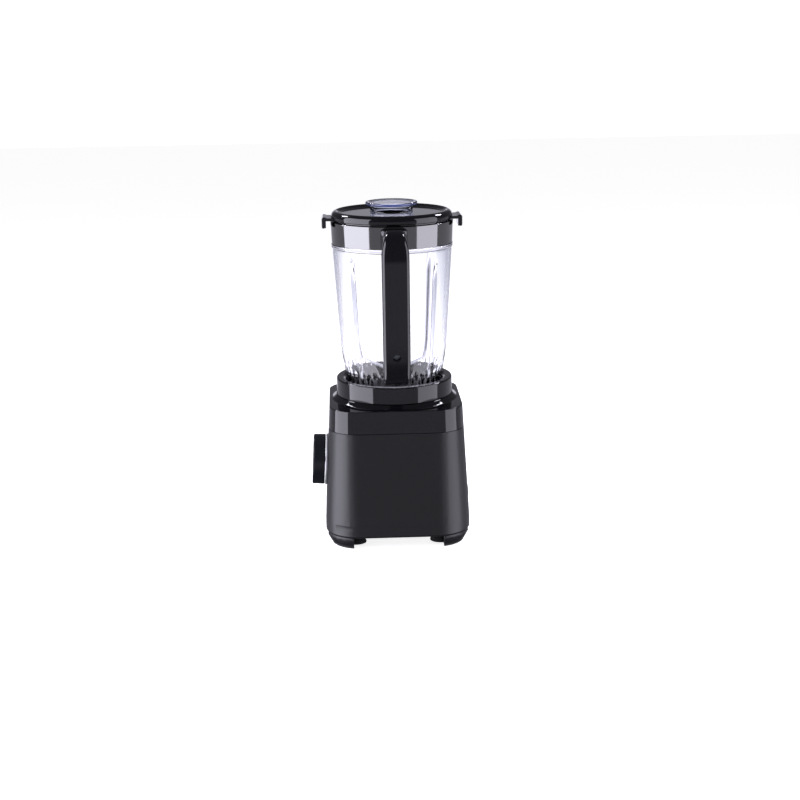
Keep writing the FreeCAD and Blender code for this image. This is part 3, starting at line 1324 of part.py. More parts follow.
for make in (makeHousing, makeTopCover, makeTray, makeFeet, makeCasingScrews, makeControls,
             makeElectronics, makeStator, makeRotor, makeMotorFrame, makeInterlock, makeCollar,
             makeJar, makeRimBand, makeHandle, makeHandleScrews, makeCarrier, makeBlades,
             makeLid, makeCap):
    make()
doc.recompute()

for item in doc.Objects:
    if "Invalid" in item.State or "Error" in item.State:
        raise RuntimeError(f"{item.Name} failed: {item.State}")
for node in nodes:
    if node.Shape.isNull() or not node.Shape.isValid() or not node.Shape.Solids:
        raise RuntimeError(f"{node.Label} has no valid solid")

os.makedirs("parts", exist_ok=True)
for node in nodes:
    node.Shape.exportStep(os.path.join("parts", node.Label + ".step"))
    box = node.Shape.BoundBox
    print(f"{node.Label:22s} solids {len(node.Shape.Solids)}  volume {node.Shape.Volume:10.1f}  "
          f"x {box.XMin:7.2f} {box.XMax:7.2f}  y {box.YMin:7.2f} {box.YMax:7.2f}  "
          f"z {box.ZMin:7.2f} {box.ZMax:7.2f}")
print(len(nodes), "nodes")
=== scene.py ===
import json
import math

import bmesh
import bpy
from mathutils import Matrix, Vector


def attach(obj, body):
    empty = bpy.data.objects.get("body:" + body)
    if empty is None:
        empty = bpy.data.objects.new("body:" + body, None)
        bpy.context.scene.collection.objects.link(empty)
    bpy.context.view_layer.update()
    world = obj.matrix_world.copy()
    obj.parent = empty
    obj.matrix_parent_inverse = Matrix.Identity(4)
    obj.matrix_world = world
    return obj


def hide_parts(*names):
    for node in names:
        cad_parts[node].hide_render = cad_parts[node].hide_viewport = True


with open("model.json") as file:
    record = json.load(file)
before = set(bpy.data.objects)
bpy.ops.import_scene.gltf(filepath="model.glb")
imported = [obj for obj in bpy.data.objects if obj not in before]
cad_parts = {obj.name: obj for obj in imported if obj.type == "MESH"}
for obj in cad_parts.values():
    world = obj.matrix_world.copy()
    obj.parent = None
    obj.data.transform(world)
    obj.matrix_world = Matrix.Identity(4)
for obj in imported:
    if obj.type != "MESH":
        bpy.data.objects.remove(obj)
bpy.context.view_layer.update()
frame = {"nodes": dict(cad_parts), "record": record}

nodes = frame["nodes"]
scene = bpy.context.scene
print("frame loaded,", len(nodes), "nodes")

# small helpers


def mm(value):
    return value / 1000


def perMetre(spacing):
    # texture scale whose features are this many millimetres apart
    return 1000 / spacing


def wavePerMetre(spacing):
    # the same for a wave texture, which has one band in every two pi
    return perMetre(spacing) / 6.283


def linearColour(hexText):
    parts = []
    for start in (1, 3, 5):
        value = int(hexText[start:start + 2], 16) / 255
        parts.append(value / 12.92 if value <= 0.04045 else ((value + 0.055) / 1.055) ** 2.4)
    return (*parts, 1.0)


def addNode(tree, kind, settings=None, inputs=None):
    # settings are the node's own options; inputs take a value or the socket that feeds them
    node = tree.nodes.new(kind)
    for name, value in (settings or {}).items():
        setattr(node, name, value)
    for name, value in (inputs or {}).items():
        if isinstance(value, bpy.types.NodeSocket):
            tree.links.new(value, node.inputs[name])
        else:
            node.inputs[name].default_value = value
    return node


def startMaterial(name, colour, roughness, metallic=0.0):
    material = bpy.data.materials.new(name)
    material.use_nodes = True
    tree = material.node_tree
    shader = tree.nodes["Principled BSDF"]
    shader.inputs["Base Color"].default_value = linearColour(colour)
    shader.inputs["Roughness"].default_value = roughness
    shader.inputs["Metallic"].default_value = metallic
    if not metallic:
        shader.inputs["IOR"].default_value = 1.5
    place = addNode(tree, "ShaderNodeTexCoord").outputs["Object"]
    return material, tree, shader, place


def spreadRoughness(tree, shader, pattern, low, high):
    # lets a 0..1 pattern move the roughness between two values
    ranged = addNode(tree, "ShaderNodeMapRange", None, {"Value": pattern, "To Min": low, "To Max": high})
    tree.links.new(ranged.outputs["Result"], shader.inputs["Roughness"])


def tintColour(tree, shader, pattern, dark, light):
    mixed = addNode(tree, "ShaderNodeMix", {"data_type": "RGBA"})
    tree.links.new(pattern, mixed.inputs[0])
    mixed.inputs[6].default_value = linearColour(dark)
    mixed.inputs[7].default_value = linearColour(light)
    tree.links.new(mixed.outputs[2], shader.inputs["Base Color"])


def raiseBump(tree, shader, pattern, height, strength=1.0):
    bump = addNode(tree, "ShaderNodeBump", None,
                   {"Height": pattern, "Distance": mm(height), "Strength": strength})
    tree.links.new(bump.outputs["Normal"], shader.inputs["Normal"])


# materials: each is named for the real stuff and how its surface was made

plasticLook = {
    "satinColour": "#0e0e10",
    "satinRoughness": (0.36, 0.42),
    "sparkGrain": 0.45,
    "glossColour": "#0a0a0d",
    "glossRoughness": (0.045, 0.075),
    "knobColour": "#080a11",
    "knobRoughness": (0.30, 0.38),
}


def makeSatinAbs():
    # spark-eroded ABS: fine even grain that spreads highlights into soft bands
    # the real grain is about 0.1 mm; it is drawn 0.45 mm coarse so that it shows at all
    material, tree, shader, place = startMaterial("satinMouldedAbs", plasticLook["satinColour"], 0.4)
    grain = addNode(tree, "ShaderNodeTexNoise", None,
                    {"Vector": place, "Scale": perMetre(plasticLook["sparkGrain"]), "Detail": 2.0})
    flow = addNode(tree, "ShaderNodeTexNoise", None,
                   {"Vector": place, "Scale": perMetre(60), "Detail": 1.0})
    spreadRoughness(tree, shader, flow.outputs["Fac"], *plasticLook["satinRoughness"])
    tintColour(tree, shader, flow.outputs["Fac"], "#0d0d0f", "#111114")
    raiseBump(tree, shader, grain.outputs["Fac"], 0.012, 0.5)
    return material


def makeGlossAbs():
    # mirror-polished mould: sharp reflections, with the very slight waviness of a cooled wall
    material, tree, shader, place = startMaterial("polishedBlackAbs", plasticLook["glossColour"], 0.06)
    sink = addNode(tree, "ShaderNodeTexNoise", None,
                   {"Vector": place, "Scale": perMetre(45), "Detail": 0.0})
    haze = addNode(tree, "ShaderNodeTexNoise", None,
                   {"Vector": place, "Scale": perMetre(9), "Detail": 3.0})
    spreadRoughness(tree, shader, haze.outputs["Fac"], *plasticLook["glossRoughness"])
    raiseBump(tree, shader, sink.outputs["Fac"], 0.03, 0.3)
    return material


def makeKnobAbs():
    # blue-black pigmented ABS with a finer, slightly glossier grain than the casing
    material, tree, shader, place = startMaterial("satinKnobAbs", plasticLook["knobColour"], 0.34)
    grain = addNode(tree, "ShaderNodeTexNoise", None,
                    {"Vector": place, "Scale": perMetre(0.4), "Detail": 2.0})
    spreadRoughness(tree, shader, grain.outputs["Fac"], *plasticLook["knobRoughness"])
    raiseBump(tree, shader, grain.outputs["Fac"], 0.01, 0.4)
    return material


def makeFilledNylon():
    # glass-filled nylon of inner mouldings: dull dark grey with a faint fibrous mottle
    material, tree, shader, place = startMaterial("glassFilledNylon", "#232427", 0.55)
    stretched = addNode(tree, "ShaderNodeMapping", None, {"Vector": place, "Scale": (1, 1, 0.35)})
    fibre = addNode(tree, "ShaderNodeTexNoise", None,
                    {"Vector": stretched.outputs["Vector"], "Scale": perMetre(0.8), "Detail": 4.0})
    tintColour(tree, shader, fibre.outputs["Fac"], "#1c1d20", "#2b2c30")
    raiseBump(tree, shader, fibre.outputs["Fac"], 0.02, 0.4)
    return material


def makeRubber():
    # moulded nitrile rubber: matt, slightly dusty black
    material, tree, shader, place = startMaterial("mouldedRubber", "#18181a", 0.72)
    dust = addNode(tree, "ShaderNodeTexNoise", None,
                   {"Vector": place, "Scale": perMetre(3), "Detail": 6.0})
    tintColour(tree, shader, dust.outputs["Fac"], "#141416", "#232325")
    raiseBump(tree, shader, dust.outputs["Fac"], 0.04, 0.4)
    return material


def makeSilverPaint():
    # satin silver lacquer over plastic, with a metallic flake of about 0.3 mm
    material, tree, shader, place = startMaterial("satinSilverLacquer", "#b9bbc0", 0.33, 0.85)
    flake = addNode(tree, "ShaderNodeTexVoronoi", None, {"Vector": place, "Scale": perMetre(0.3)})
    tintColour(tree, shader, flake.outputs["Distance"], "#a9abb0", "#cdced2")
    return material


def makeTurnedSteel():
    # lathe-turned steel: fine rings left by the tool around the axis, 0.35 mm apart
    roughness = 0.22
    material, tree, shader, place = startMaterial("turnedBearingSteel", "#b4b7bc", roughness, 1.0)
    rings = addNode(tree, "ShaderNodeTexWave", {"wave_type": "RINGS", "rings_direction": "Z"},
                    {"Vector": place, "Scale": wavePerMetre(0.35), "Distortion": 0.6})
    spreadRoughness(tree, shader, rings.outputs["Fac"], roughness - 0.06, roughness + 0.06)
    raiseBump(tree, shader, rings.outputs["Fac"], 0.004, 0.5)
    return material


def makeZincSteel():
    # zinc-plated screw steel: pale grey with a cloudy passivated bloom
    material, tree, shader, place = startMaterial("zincPlatedSteel", "#a7acb4", 0.36, 1.0)
    bloom = addNode(tree, "ShaderNodeTexNoise", None,
                    {"Vector": place, "Scale": perMetre(2.5), "Detail": 4.0})
    tintColour(tree, shader, bloom.outputs["Fac"], "#8f959e", "#c1c5cb")
    spreadRoughness(tree, shader, bloom.outputs["Fac"], 0.28, 0.46)
    return material


def makeBrushedSteel():
    # stainless strip, belt-ground: short bright hairlines along the blade
    material, tree, shader, place = startMaterial("groundStainlessSteel", "#c9ccd1", 0.24, 1.0)
    along = addNode(tree, "ShaderNodeMapping", None, {"Vector": place, "Scale": (1.0, 12.0, 12.0)})
    hair = addNode(tree, "ShaderNodeTexNoise", None,
                   {"Vector": along.outputs["Vector"], "Scale": perMetre(3.0), "Detail": 5.0})
    spreadRoughness(tree, shader, hair.outputs["Fac"], 0.16, 0.34)
    raiseBump(tree, shader, hair.outputs["Fac"], 0.006, 0.6)
    return material


def makeLamination():
    # stack of 0.5 mm silicon steel sheets, drawn 1 mm apart so that their edges show
    material, tree, shader, place = startMaterial("laminatedSiliconSteel", "#6d7078", 0.42, 1.0)
    sheets = addNode(tree, "ShaderNodeTexWave", {"wave_type": "BANDS", "bands_direction": "Z"},
                     {"Vector": place, "Scale": wavePerMetre(1.0)})
    tintColour(tree, shader, sheets.outputs["Fac"], "#4a4c52", "#85888f")
    raiseBump(tree, shader, sheets.outputs["Fac"], 0.05, 0.7)
    return material


def makeCastAlloy():
    # die-cast aluminium: pale, slightly pebbled skin
    material, tree, shader, place = startMaterial("dieCastAluminium", "#a9abad", 0.46, 1.0)
    skin = addNode(tree, "ShaderNodeTexNoise", None,
                   {"Vector": place, "Scale": perMetre(1.2), "Detail": 4.0})
    tintColour(tree, shader, skin.outputs["Fac"], "#97999c", "#bcbec0")
    raiseBump(tree, shader, skin.outputs["Fac"], 0.03, 0.5)
    return material


def makeCopperWire():
    # enamelled copper wire wound in layers, 0.8 mm across
    material, tree, shader, place = startMaterial("enamelledCopperWire", "#a2532a", 0.3, 0.9)
    turns = addNode(tree, "ShaderNodeTexWave", {"wave_type": "BANDS", "bands_direction": "Z"},
                    {"Vector": place, "Scale": wavePerMetre(0.8), "Distortion": 0.8})
    tintColour(tree, shader, turns.outputs["Fac"], "#5f2a12", "#c36a38")
    raiseBump(tree, shader, turns.outputs["Fac"], 0.2, 0.8)
    return material


def makeBrass():
    # rolled brass strip, dulled by handling
    material, tree, shader, place = startMaterial("rolledBrass", "#b08d4a", 0.34, 1.0)
    stain = addNode(tree, "ShaderNodeTexNoise", None,
                    {"Vector": place, "Scale": perMetre(4), "Detail": 3.0})
    tintColour(tree, shader, stain.outputs["Fac"], "#94753a", "#c8a45c")
    return material


def makeCarbon():
    # pressed carbon graphite: soft dark grey with a slight sheen
    material, tree, shader, place = startMaterial("pressedCarbon", "#26272a", 0.5)
    pores = addNode(tree, "ShaderNodeTexNoise", None,
                    {"Vector": place, "Scale": perMetre(0.6), "Detail": 5.0})
    tintColour(tree, shader, pores.outputs["Fac"], "#1a1b1d", "#36373b")
    return material


def makeNylon():
    # black oil-filled nylon of the drive parts: smooth, waxy, with slightly worn lighter flanks
    material, tree, shader, place = startMaterial("oilFilledNylon", "#1a1b1e", 0.38)
    cloud = addNode(tree, "ShaderNodeTexNoise", None,
                    {"Vector": place, "Scale": perMetre(5), "Detail": 3.0})
    tintColour(tree, shader, cloud.outputs["Fac"], "#151619", "#27282c")
    return material


def makeCircuitBoard():
    # glass-epoxy board under green lacquer, with copper tracks 1.5 mm apart showing through
    material, tree, shader, place = startMaterial("greenLacqueredBoard", "#14502f", 0.3)
    tracks = addNode(tree, "ShaderNodeTexBrick", None,
                     {"Vector": place, "Scale": perMetre(3.0), "Mortar Size": 0.06})
    tracks.inputs["Color1"].default_value = linearColour("#14502f")
    tracks.inputs["Color2"].default_value = linearColour("#175a35")
    tracks.inputs["Mortar"].default_value = linearColour("#2c7a48")
    tree.links.new(tracks.outputs["Color"], shader.inputs["Base Color"])
    return material


def makeCapacitorCase():
    # glossy yellow film-capacitor box with tiny casting pits
    material, tree, shader, place = startMaterial("yellowCapacitorResin", "#c39a22", 0.28)
    pits = addNode(tree, "ShaderNodeTexNoise", None,
                   {"Vector": place, "Scale": perMetre(0.7), "Detail": 3.0})
    tintColour(tree, shader, pits.outputs["Fac"], "#b58d1c", "#cfa62c")
    raiseBump(tree, shader, pits.outputs["Fac"], 0.02, 0.4)
    return material


def makeSmokedChrome():
    # dark chrome plating on a moulded band: a grey mirror, much stronger than bare gloss plastic
    material, tree, shader, place = startMaterial("darkChromePlating", "#717171", 0.06, 1.0)
    ripple = addNode(tree, "ShaderNodeTexNoise", None,
                     {"Vector": place, "Scale": perMetre(24), "Detail": 1.0})
    spreadRoughness(tree, shader, ripple.outputs["Fac"], 0.05, 0.09)
    raiseBump(tree, shader, ripple.outputs["Fac"], 0.02, 0.2)
    return material


def makeClearPlastic(name, tint, density, roughness):
    # clear injection-moulded copolyester: near-white in the middle, a cool violet where it is deep
    material, tree, shader, place = startMaterial(name, "#ffffff", roughness)
    shader.inputs["Transmission Weight"].default_value = 1.0
    handling = addNode(tree, "ShaderNodeTexNoise", None,
                       {"Vector": place, "Scale": perMetre(14), "Detail": 3.0})
    spreadRoughness(tree, shader, handling.outputs["Fac"], roughness, roughness + 0.025)
    depth = addNode(tree, "ShaderNodeVolumeAbsorption")
    depth.inputs["Color"].default_value = linearColour(tint)
    depth.inputs["Density"].default_value = density
    tree.links.new(depth.outputs["Volume"], tree.nodes["Material Output"].inputs["Volume"])
    return material


finish = {
    "satin_black": makeSatinAbs(),
    "gloss_black": makeGlossAbs(),
    "smoked_chrome": makeSmokedChrome(),
    "knob_black": makeKnobAbs(),
    "inner_black": makeFilledNylon(),
    "black_rubber": makeRubber(),
    "silver_ring": makeSilverPaint(),
    "zinc_steel": makeZincSteel(),
    "clear_jar": makeClearPlastic("clearCopolyester", "#bcbcca", 52.0, 0.01),
    "clear_cap": makeClearPlastic("clearCapCopolyester", "#9aa8d2", 60.0, 0.02),
    "blade_steel": makeBrushedSteel(),
    "lamination": makeLamination(),
    "bearing_steel": makeTurnedSteel(),
    "cast_alloy": makeCastAlloy(),
    "copper_wire": makeCopperWire(),
    "brass_part": makeBrass(),
    "carbon": makeCarbon(),
    "nylon_drive": makeNylon(),
    "board_green": makeCircuitBoard(),
    "capacitor_case": makeCapacitorCase(),
}

nodeSlots = {part["node"]: part["material_slot"] for part in frame["record"]["subparts"]}
for nodeName, node in nodes.items():
    node.data.materials.clear()
    node.data.materials.append(finish[nodeSlots[nodeName]])
print("materials set on the carried-over nodes")

# modelling helpers


def finishPiece(name, bm, body, slotName, replaced=(), sharpAngle=40):
    # closes the bmesh into an object that rides on a body and stands for its CAD nodes
    mesh = bpy.data.meshes.new(name)
    bm.to_mesh(mesh)
    bm.free()
    mesh.materials.append(finish[slotName])
    mesh.shade_smooth()
    mesh.set_sharp_from_angle(angle=math.radians(sharpAngle))
    piece = bpy.data.objects.new(name, mesh)
    scene.collection.objects.link(piece)
    even = piece.modifiers.new("evenShading", "WEIGHTED_NORMAL")
    even.keep_sharp = True
    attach(piece, body)
    if replaced:
        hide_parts(*replaced)
    print("piece", name, len(mesh.polygons), "faces")
    return piece


def drawOutline(bm, outline, closed=True):
    # outline rows are radius, height and how far back each corner is rounded, in millimetres
    corners = [bm.verts.new((mm(row[0]), 0, mm(row[1]))) for row in outline]
    for first, second in zip(corners, corners[1:] + corners[:1] if closed else corners[1:]):
        bm.edges.new((first, second))
    for corner, row in zip(corners, outline):
        setback = row[2] if len(row) > 2 else 0
        if setback:
            bmesh.ops.bevel(bm, geom=[corner], offset=mm(setback), offset_type="OFFSET",
                            segments=5 if setback > 1 else 3, profile=0.5, affect="VERTICES",
                            material=-1)


def closeSkin(bm):
    bmesh.ops.remove_doubles(bm, verts=bm.verts, dist=mm(0.01))
    bmesh.ops.recalc_face_normals(bm, faces=bm.faces)


def spinRing(bm, steps):
    # turns everything drawn so far once round the vertical axis
    bmesh.ops.spin(bm, geom=bm.verts[:] + bm.edges[:], cent=(0, 0, 0), axis=(0, 0, 1),
                   angle=math.tau, steps=steps, use_merge=True, use_normal_flip=False,
                   use_duplicate=False)
    closeSkin(bm)


def turnedPiece(name, outline, body, slotName, replaced):
    bm = bmesh.new()
    drawOutline(bm, outline)
    spinRing(bm, 224)
    return finishPiece(name, bm, body, slotName, replaced)


# the jar's foot collar

collarSize = {"radius": 68.8, "low": 171.2, "top": 191.2, "bore": 57.0, "lip": 58.5, "spigot": 57.5,
              "spigotLow": 167.9, "inner": 55.5, "ledge": 177.0, "ledgeRadius": 46.0,
              "ledgeLow": 174.0}


def makeCollar():
    c = collarSize
    outline = [
        (c["inner"], c["spigotLow"], 0.4), (c["spigot"], c["spigotLow"], 0.6), (c["spigot"], c["low"], 0.4),
        (c["radius"], c["low"], 0.8), (c["radius"], c["top"], 1.6), (c["lip"] + 2.2, c["top"], 1.2),
        (c["bore"], c["top"] - 2.4, 0.8), (c["bore"], c["ledge"], 0.6), (c["ledgeRadius"], c["ledge"], 0.4),
        (c["ledgeRadius"], c["ledgeLow"], 0.4), (c["inner"], c["ledgeLow"], 0.4)]
    turnedPiece("collarRing", outline, "jar", "gloss_black", ["jar_collar"])


# the clear jar

jarSize = {"footLow": 182.0, "foot": 56.0, "footTop": 188.0, "waist": 62.3, "waistHeight": 221.0,
           "top": 70.2, "beadLow": 347.0, "beadTop": 351.0, "bead": 71.2, "rim": 69.0,
           "rimTop": 373.0, "wall": 2.6, "footWall": 4.6, "ribLow": 196.0, "ribHigh": 329.0,
           "ribDepth": 4.2, "ribWidth": 6.0, "steps": 360, "lug": 234.0, "flutes": 40,
           "fluteDepth": 1.3, "fluteFull": 199.0, "fluteEnd": 209.0, "ribLowFade": 10.0,
           "ribHighFade": 12.0, "ribRound": 0.6, "rowsOver": 12.0, "rowCuts": 15}


def jarWallRadius(height):
    # outer radius of the plain wall at a height, before its corners are rounded
    j = jarSize
    if height < j["waistHeight"]:
        share = (height - j["footTop"]) / (j["waistHeight"] - j["footTop"])
        return j["foot"] + share * (j["waist"] - j["foot"])
    share = (height - j["waistHeight"]) / (j["beadLow"] - j["waistHeight"])
    return j["waist"] + share * (j["top"] - j["waist"])


def ribRise(height, angle):
    # how far the flow ribs swell inwards at a height and an angle from the nearest rib
    j = jarSize
    ends = min((height - j["ribLow"]) / j["ribLowFade"], (j["ribHigh"] - height) / j["ribHighFade"], 1)
    if ends <= 0:
        return 0
    across = abs(angle) * mm(jarWallRadius(height)) / mm(j["ribWidth"] / 2)
    if across >= 1:
        return 0
    along = ends * ends * (3 - 2 * ends)
    return mm(j["ribDepth"]) * along * (0.5 + 0.5 * math.cos(math.pi * across)) ** j["ribRound"]


def makeJar():
    j = jarSize
    bm = bmesh.new()
    outline = [
        (j["foot"] - j["footWall"], j["footLow"], 0.6), (j["foot"], j["footLow"], 1.0),
        (j["foot"], j["footTop"], 5.5), (j["waist"], j["waistHeight"], 14.0),
        (j["top"], j["beadLow"], 0.5), (j["bead"], j["beadLow"], 0.5), (j["bead"], j["beadTop"], 0.7),
        (j["rim"], j["beadTop"], 0.5), (j["rim"], j["rimTop"], 0.9),
        (j["rim"] - j["wall"], j["rimTop"], 0.9), (j["rim"] - j["wall"], j["beadTop"], 3.0),
        (j["top"] - j["wall"], j["beadLow"], 3.0), (j["waist"] - j["wall"], j["waistHeight"], 13.5),
        (j["foot"] - j["footWall"], j["footTop"], 5.2)]
    drawOutline(bm, outline)
    # the long inner walls get rows every few millimetres, so that the ribs can swell out of them
    tall = [e for e in bm.edges if abs(e.verts[0].co.z - e.verts[1].co.z) > mm(j["rowsOver"])]
    bmesh.ops.subdivide_edges(bm, edges=tall, cuts=j["rowCuts"])
    spinRing(bm, j["steps"])
    for vert in bm.verts:
        height = vert.co.z * 1000
        radius = math.hypot(vert.co.x, vert.co.y)
        if j["ribLow"] < height < j["ribHigh"] and radius < mm(jarWallRadius(height) - j["wall"] / 2):
            angle = math.atan2(vert.co.y, vert.co.x)
            nearest = (angle - math.pi / 4) % (math.pi / 2)
            swell = ribRise(height, min(nearest, math.pi / 2 - nearest))
            if swell:
                vert.co.x -= math.cos(angle) * swell
                vert.co.y -= math.sin(angle) * swell
        elif height < j["fluteEnd"] and radius > mm(jarWallRadius(height) - j["wall"] / 2):
            # upright flutes round the foot catch the light where the jar goes into its collar
            angle = math.atan2(vert.co.y, vert.co.x)
            along = min((j["fluteEnd"] - height) / (j["fluteEnd"] - j["fluteFull"]), 1)
            cut = mm(j["fluteDepth"]) * along * (0.5 - 0.5 * math.cos(j["flutes"] * angle))
            vert.co.x -= math.cos(angle) * cut
            vert.co.y -= math.sin(angle) * cut
    finishPiece("jarWall", bm, "jar", "clear_jar", ["jar_body"], sharpAngle=60)


lugSize = {"radius": 6.0, "root": 8.6, "rootRise": 3.2, "start": 61.4, "end": 70.0}


def makeJarLug():
    # short boss that the grip is screwed to, with a soft root where it leaves the wall
    g = lugSize
    bm = bmesh.new()
    outline = [(0, g["start"]), (g["root"], g["start"]), (g["radius"], g["start"] + g["rootRise"], 1.4),
               (g["radius"], g["end"], 0.6), (0, g["end"])]
    drawOutline(bm, outline, closed=False)
    spinRing(bm, 40)
    bmesh.ops.rotate(bm, cent=(0, 0, 0), matrix=Matrix.Rotation(math.radians(90), 3, "Y"), verts=bm.verts)
    bmesh.ops.translate(bm, vec=(0, 0, mm(jarSize["lug"])), verts=bm.verts)
    finishPiece("jarLug", bm, "jar", "clear_jar")


# rim band, lid and cap

rimSize = {"inner": 69.3, "lowRadius": 70.8, "topRadius": 71.8, "low": 351.4, "top": 377.5}
lidSize = {"radius": 71.0, "low": 377.8, "top": 389.0, "plate": 386.0, "filler": 24.3,
           "plug": 64.5, "plugLow": 368.0, "under": 383.0}
tabSize = {"root": 67.0, "reach": 81.5, "half": 16.5, "shelfLow": 378.6, "shelfTop": 382.0,
           "barThick": 5.0, "barLow": 370.0, "barTop": 383.2, "softEdge": 0.9}
capSize = {"plug": 23.4, "body": 25.0, "flange": 30.5, "low": 372.0, "shoulder": 386.2,
           "flangeLow": 395.2, "top": 398.6, "wall": 2.4}


def makeRimBand():
    r = rimSize
    outline = [(r["inner"], r["low"], 0.3), (r["lowRadius"], r["low"], 0.5),
               (r["topRadius"], r["top"], 0.5), (r["inner"], r["top"], 0.4)]
    turnedPiece("rimBand", outline, "jar", "smoked_chrome", ["rim_band"])


def makeLid():
    d = lidSize
    bm = bmesh.new()
    outline = [
        (d["filler"], d["under"] - 6, 0.5), (d["filler"] + 3, d["under"] - 6, 0.5),
        (d["filler"] + 3, d["under"], 0.8), (d["plug"] - 2.5, d["under"], 0.8),
        (d["plug"] - 2.5, d["plugLow"], 0.6), (d["plug"], d["plugLow"], 0.6),
        (d["plug"], d["plugLow"] + 3, 0.3), (d["plug"] - 1, d["plugLow"] + 3, 0.3),
        (d["plug"] - 1, d["plugLow"] + 6, 0.3), (d["plug"], d["plugLow"] + 6, 0.3),
        (d["plug"], d["low"], 0.4), (d["radius"] - 2.2, d["low"], 0.3),
        (d["radius"] - 2.2, d["low"] + 1.8, 0.4), (d["radius"], d["low"] + 2.2, 0.4),
        (d["radius"], d["top"] - 4.6, 1.5), (d["radius"] - 1.4, d["top"] - 1.8, 1.5),
        (d["radius"] - 4.4, d["top"], 1.4), (d["radius"] - 6.2, d["top"], 0.8),
        (d["radius"] - 10.8, d["plate"], 1.2), (d["filler"] + 1.5, d["plate"], 0.6),
        (d["filler"], d["plate"] - 0.6, 0.3)]
    drawOutline(bm, outline)
    spinRing(bm, 224)
    finishPiece("lidShell", bm, "lid", "gloss_black", ["lid"])
    for side, word in ((-1, "Front"), (1, "Back")):
        makeLidTab(side, word)


def makeLidTab(side, word):
    # finger tab: a short shelf with a downturned bar at its end
    t = tabSize
    reach = t["reach"]
    bm = bmesh.new()
    section = [(t["root"], t["shelfLow"]), (reach - t["barThick"], t["shelfLow"]),
               (reach - t["barThick"], t["barLow"] + 0.6), (reach - 1.2, t["barLow"]),
               (reach, t["barLow"] + 1.4), (reach, t["barTop"] - 1.6), (reach - 1.6, t["barTop"]),
               (reach - 4.4, t["barTop"] - 0.2), (reach - 6.0, t["shelfTop"]), (t["root"], t["shelfTop"])]
    corners = [bm.verts.new((mm(-t["half"]), side * mm(y), mm(z))) for y, z in section]
    face = bm.faces.new(corners)
    grown = bmesh.ops.extrude_face_region(bm, geom=[face])
    moved = [item for item in grown["geom"] if isinstance(item, bmesh.types.BMVert)]
    bmesh.ops.translate(bm, vec=(mm(2 * t["half"]), 0, 0), verts=moved)
    closeSkin(bm)
    upright = [e for e in bm.edges if abs(e.verts[0].co.x - e.verts[1].co.x) < 0.0001
               and min(abs(v.co.y) for v in e.verts) > mm(lidSize["radius"] + 1.2)]
    bmesh.ops.bevel(bm, geom=upright, offset=mm(t["softEdge"]), offset_type="OFFSET", segments=3, profile=0.5,
                    affect="EDGES", clamp_overlap=True, material=-1)
    finishPiece("lidTab" + word, bm, "lid", "gloss_black")


def makeCap():
    # upside-down clear cup with a wide flange and a shallow dished top
    c = capSize
    outline = [
        (c["plug"] - c["wall"], c["low"], 0.6), (c["plug"], c["low"], 0.8), (c["plug"], c["shoulder"], 0.3),
        (c["body"], c["shoulder"], 0.4), (c["body"], c["flangeLow"], 1.6),
        (c["flange"], c["flangeLow"], 0.9), (c["flange"], c["top"], 1.1),
        (c["flange"] - 3.4, c["top"], 0.9), (c["flange"] - 5.4, c["top"] - 1.0, 0.9), (0, c["top"] - 1.2),
        (0, c["top"] - 3.6), (c["plug"] - c["wall"], c["top"] - 3.4, 2.0)]
    bm = bmesh.new()
    drawOutline(bm, outline, closed=False)
    # its two ends stay sharp, and the inner wall runs between them
    bm.edges.new([vert for vert in bm.verts if len(vert.link_edges) == 1])
    spinRing(bm, 128)
    finishPiece("measuringCup", bm, "cap", "clear_cap", ["measuring_cap"], sharpAngle=50)


# top cover of the base

casing = {"arcCentre": 43.5, "cornerRadius": 42.0, "seam": 29.5, "lean": math.tan(math.radians(3.12)),
          "arcSteps": 22, "runSteps": 12}
coverSize = {"low": 139.25, "shoulder": 166.2, "slope": math.tan(math.radians(1)), "edge": 0.9,
             "flare": 73.8, "flareHeight": 166.27, "neck": 69.2, "seat": 171.0, "well": 58.0,
             "wellFloor": 165.0, "shaftHole": 11.3, "under": 161.0, "inset": 5.8, "lowBreak": 0.5,
             "softFlare": 0.7, "flareStart": 2.2, "softSeat": 0.6, "softFloor": 0.8}


def squareOutline(radius):
    # corners of a rounded square, as radii and angles from the axis, all in millimetres and radians
    spots = []
    steps, runs = casing["arcSteps"], casing["runSteps"]
    for quarter in range(4):
        for step in range(steps):
            turned = math.radians(90 * step / (steps - 1))
            across = casing["arcCentre"] + radius * math.cos(turned)
            along = casing["arcCentre"] + radius * math.sin(turned)
            spots.append((math.hypot(across, along), math.atan2(along, across) + quarter * math.pi / 2))
        for step in range(1, runs):
            along = casing["arcCentre"] * (1 - 2 * step / runs)
            across = casing["arcCentre"] + radius
            spots.append((math.hypot(across, along),
                          math.atan2(across, along) + quarter * math.pi / 2))
    return spots


def wallRadius(height):
    # corner radius of the leaning casing wall at a height
    return casing["cornerRadius"] - (height - casing["seam"]) * casing["lean"]


def layRing(bm, spots):
    # a closed ring of edges through spots given as radius, angle and height
    ring = bmesh.ops.create_circle(bm, segments=len(spots), radius=1)["verts"]
    for vert, (radius, angle, height) in zip(ring, spots):
        vert.co = (mm(radius) * math.cos(angle), mm(radius) * math.sin(angle), mm(height))
    return list({edge for vert in ring for edge in vert.link_edges})


def skinRings(bm, rings):
    # joins each ring to the next, and the last to the first
    for first, second in zip(rings, rings[1:] + rings[:1]):
        bmesh.ops.bridge_loops(bm, edges=first + second)
    closeSkin(bm)


def coneHeight(radius):
    c = coverSize
    return c["flareHeight"] - (radius - c["flare"]) * c["slope"]


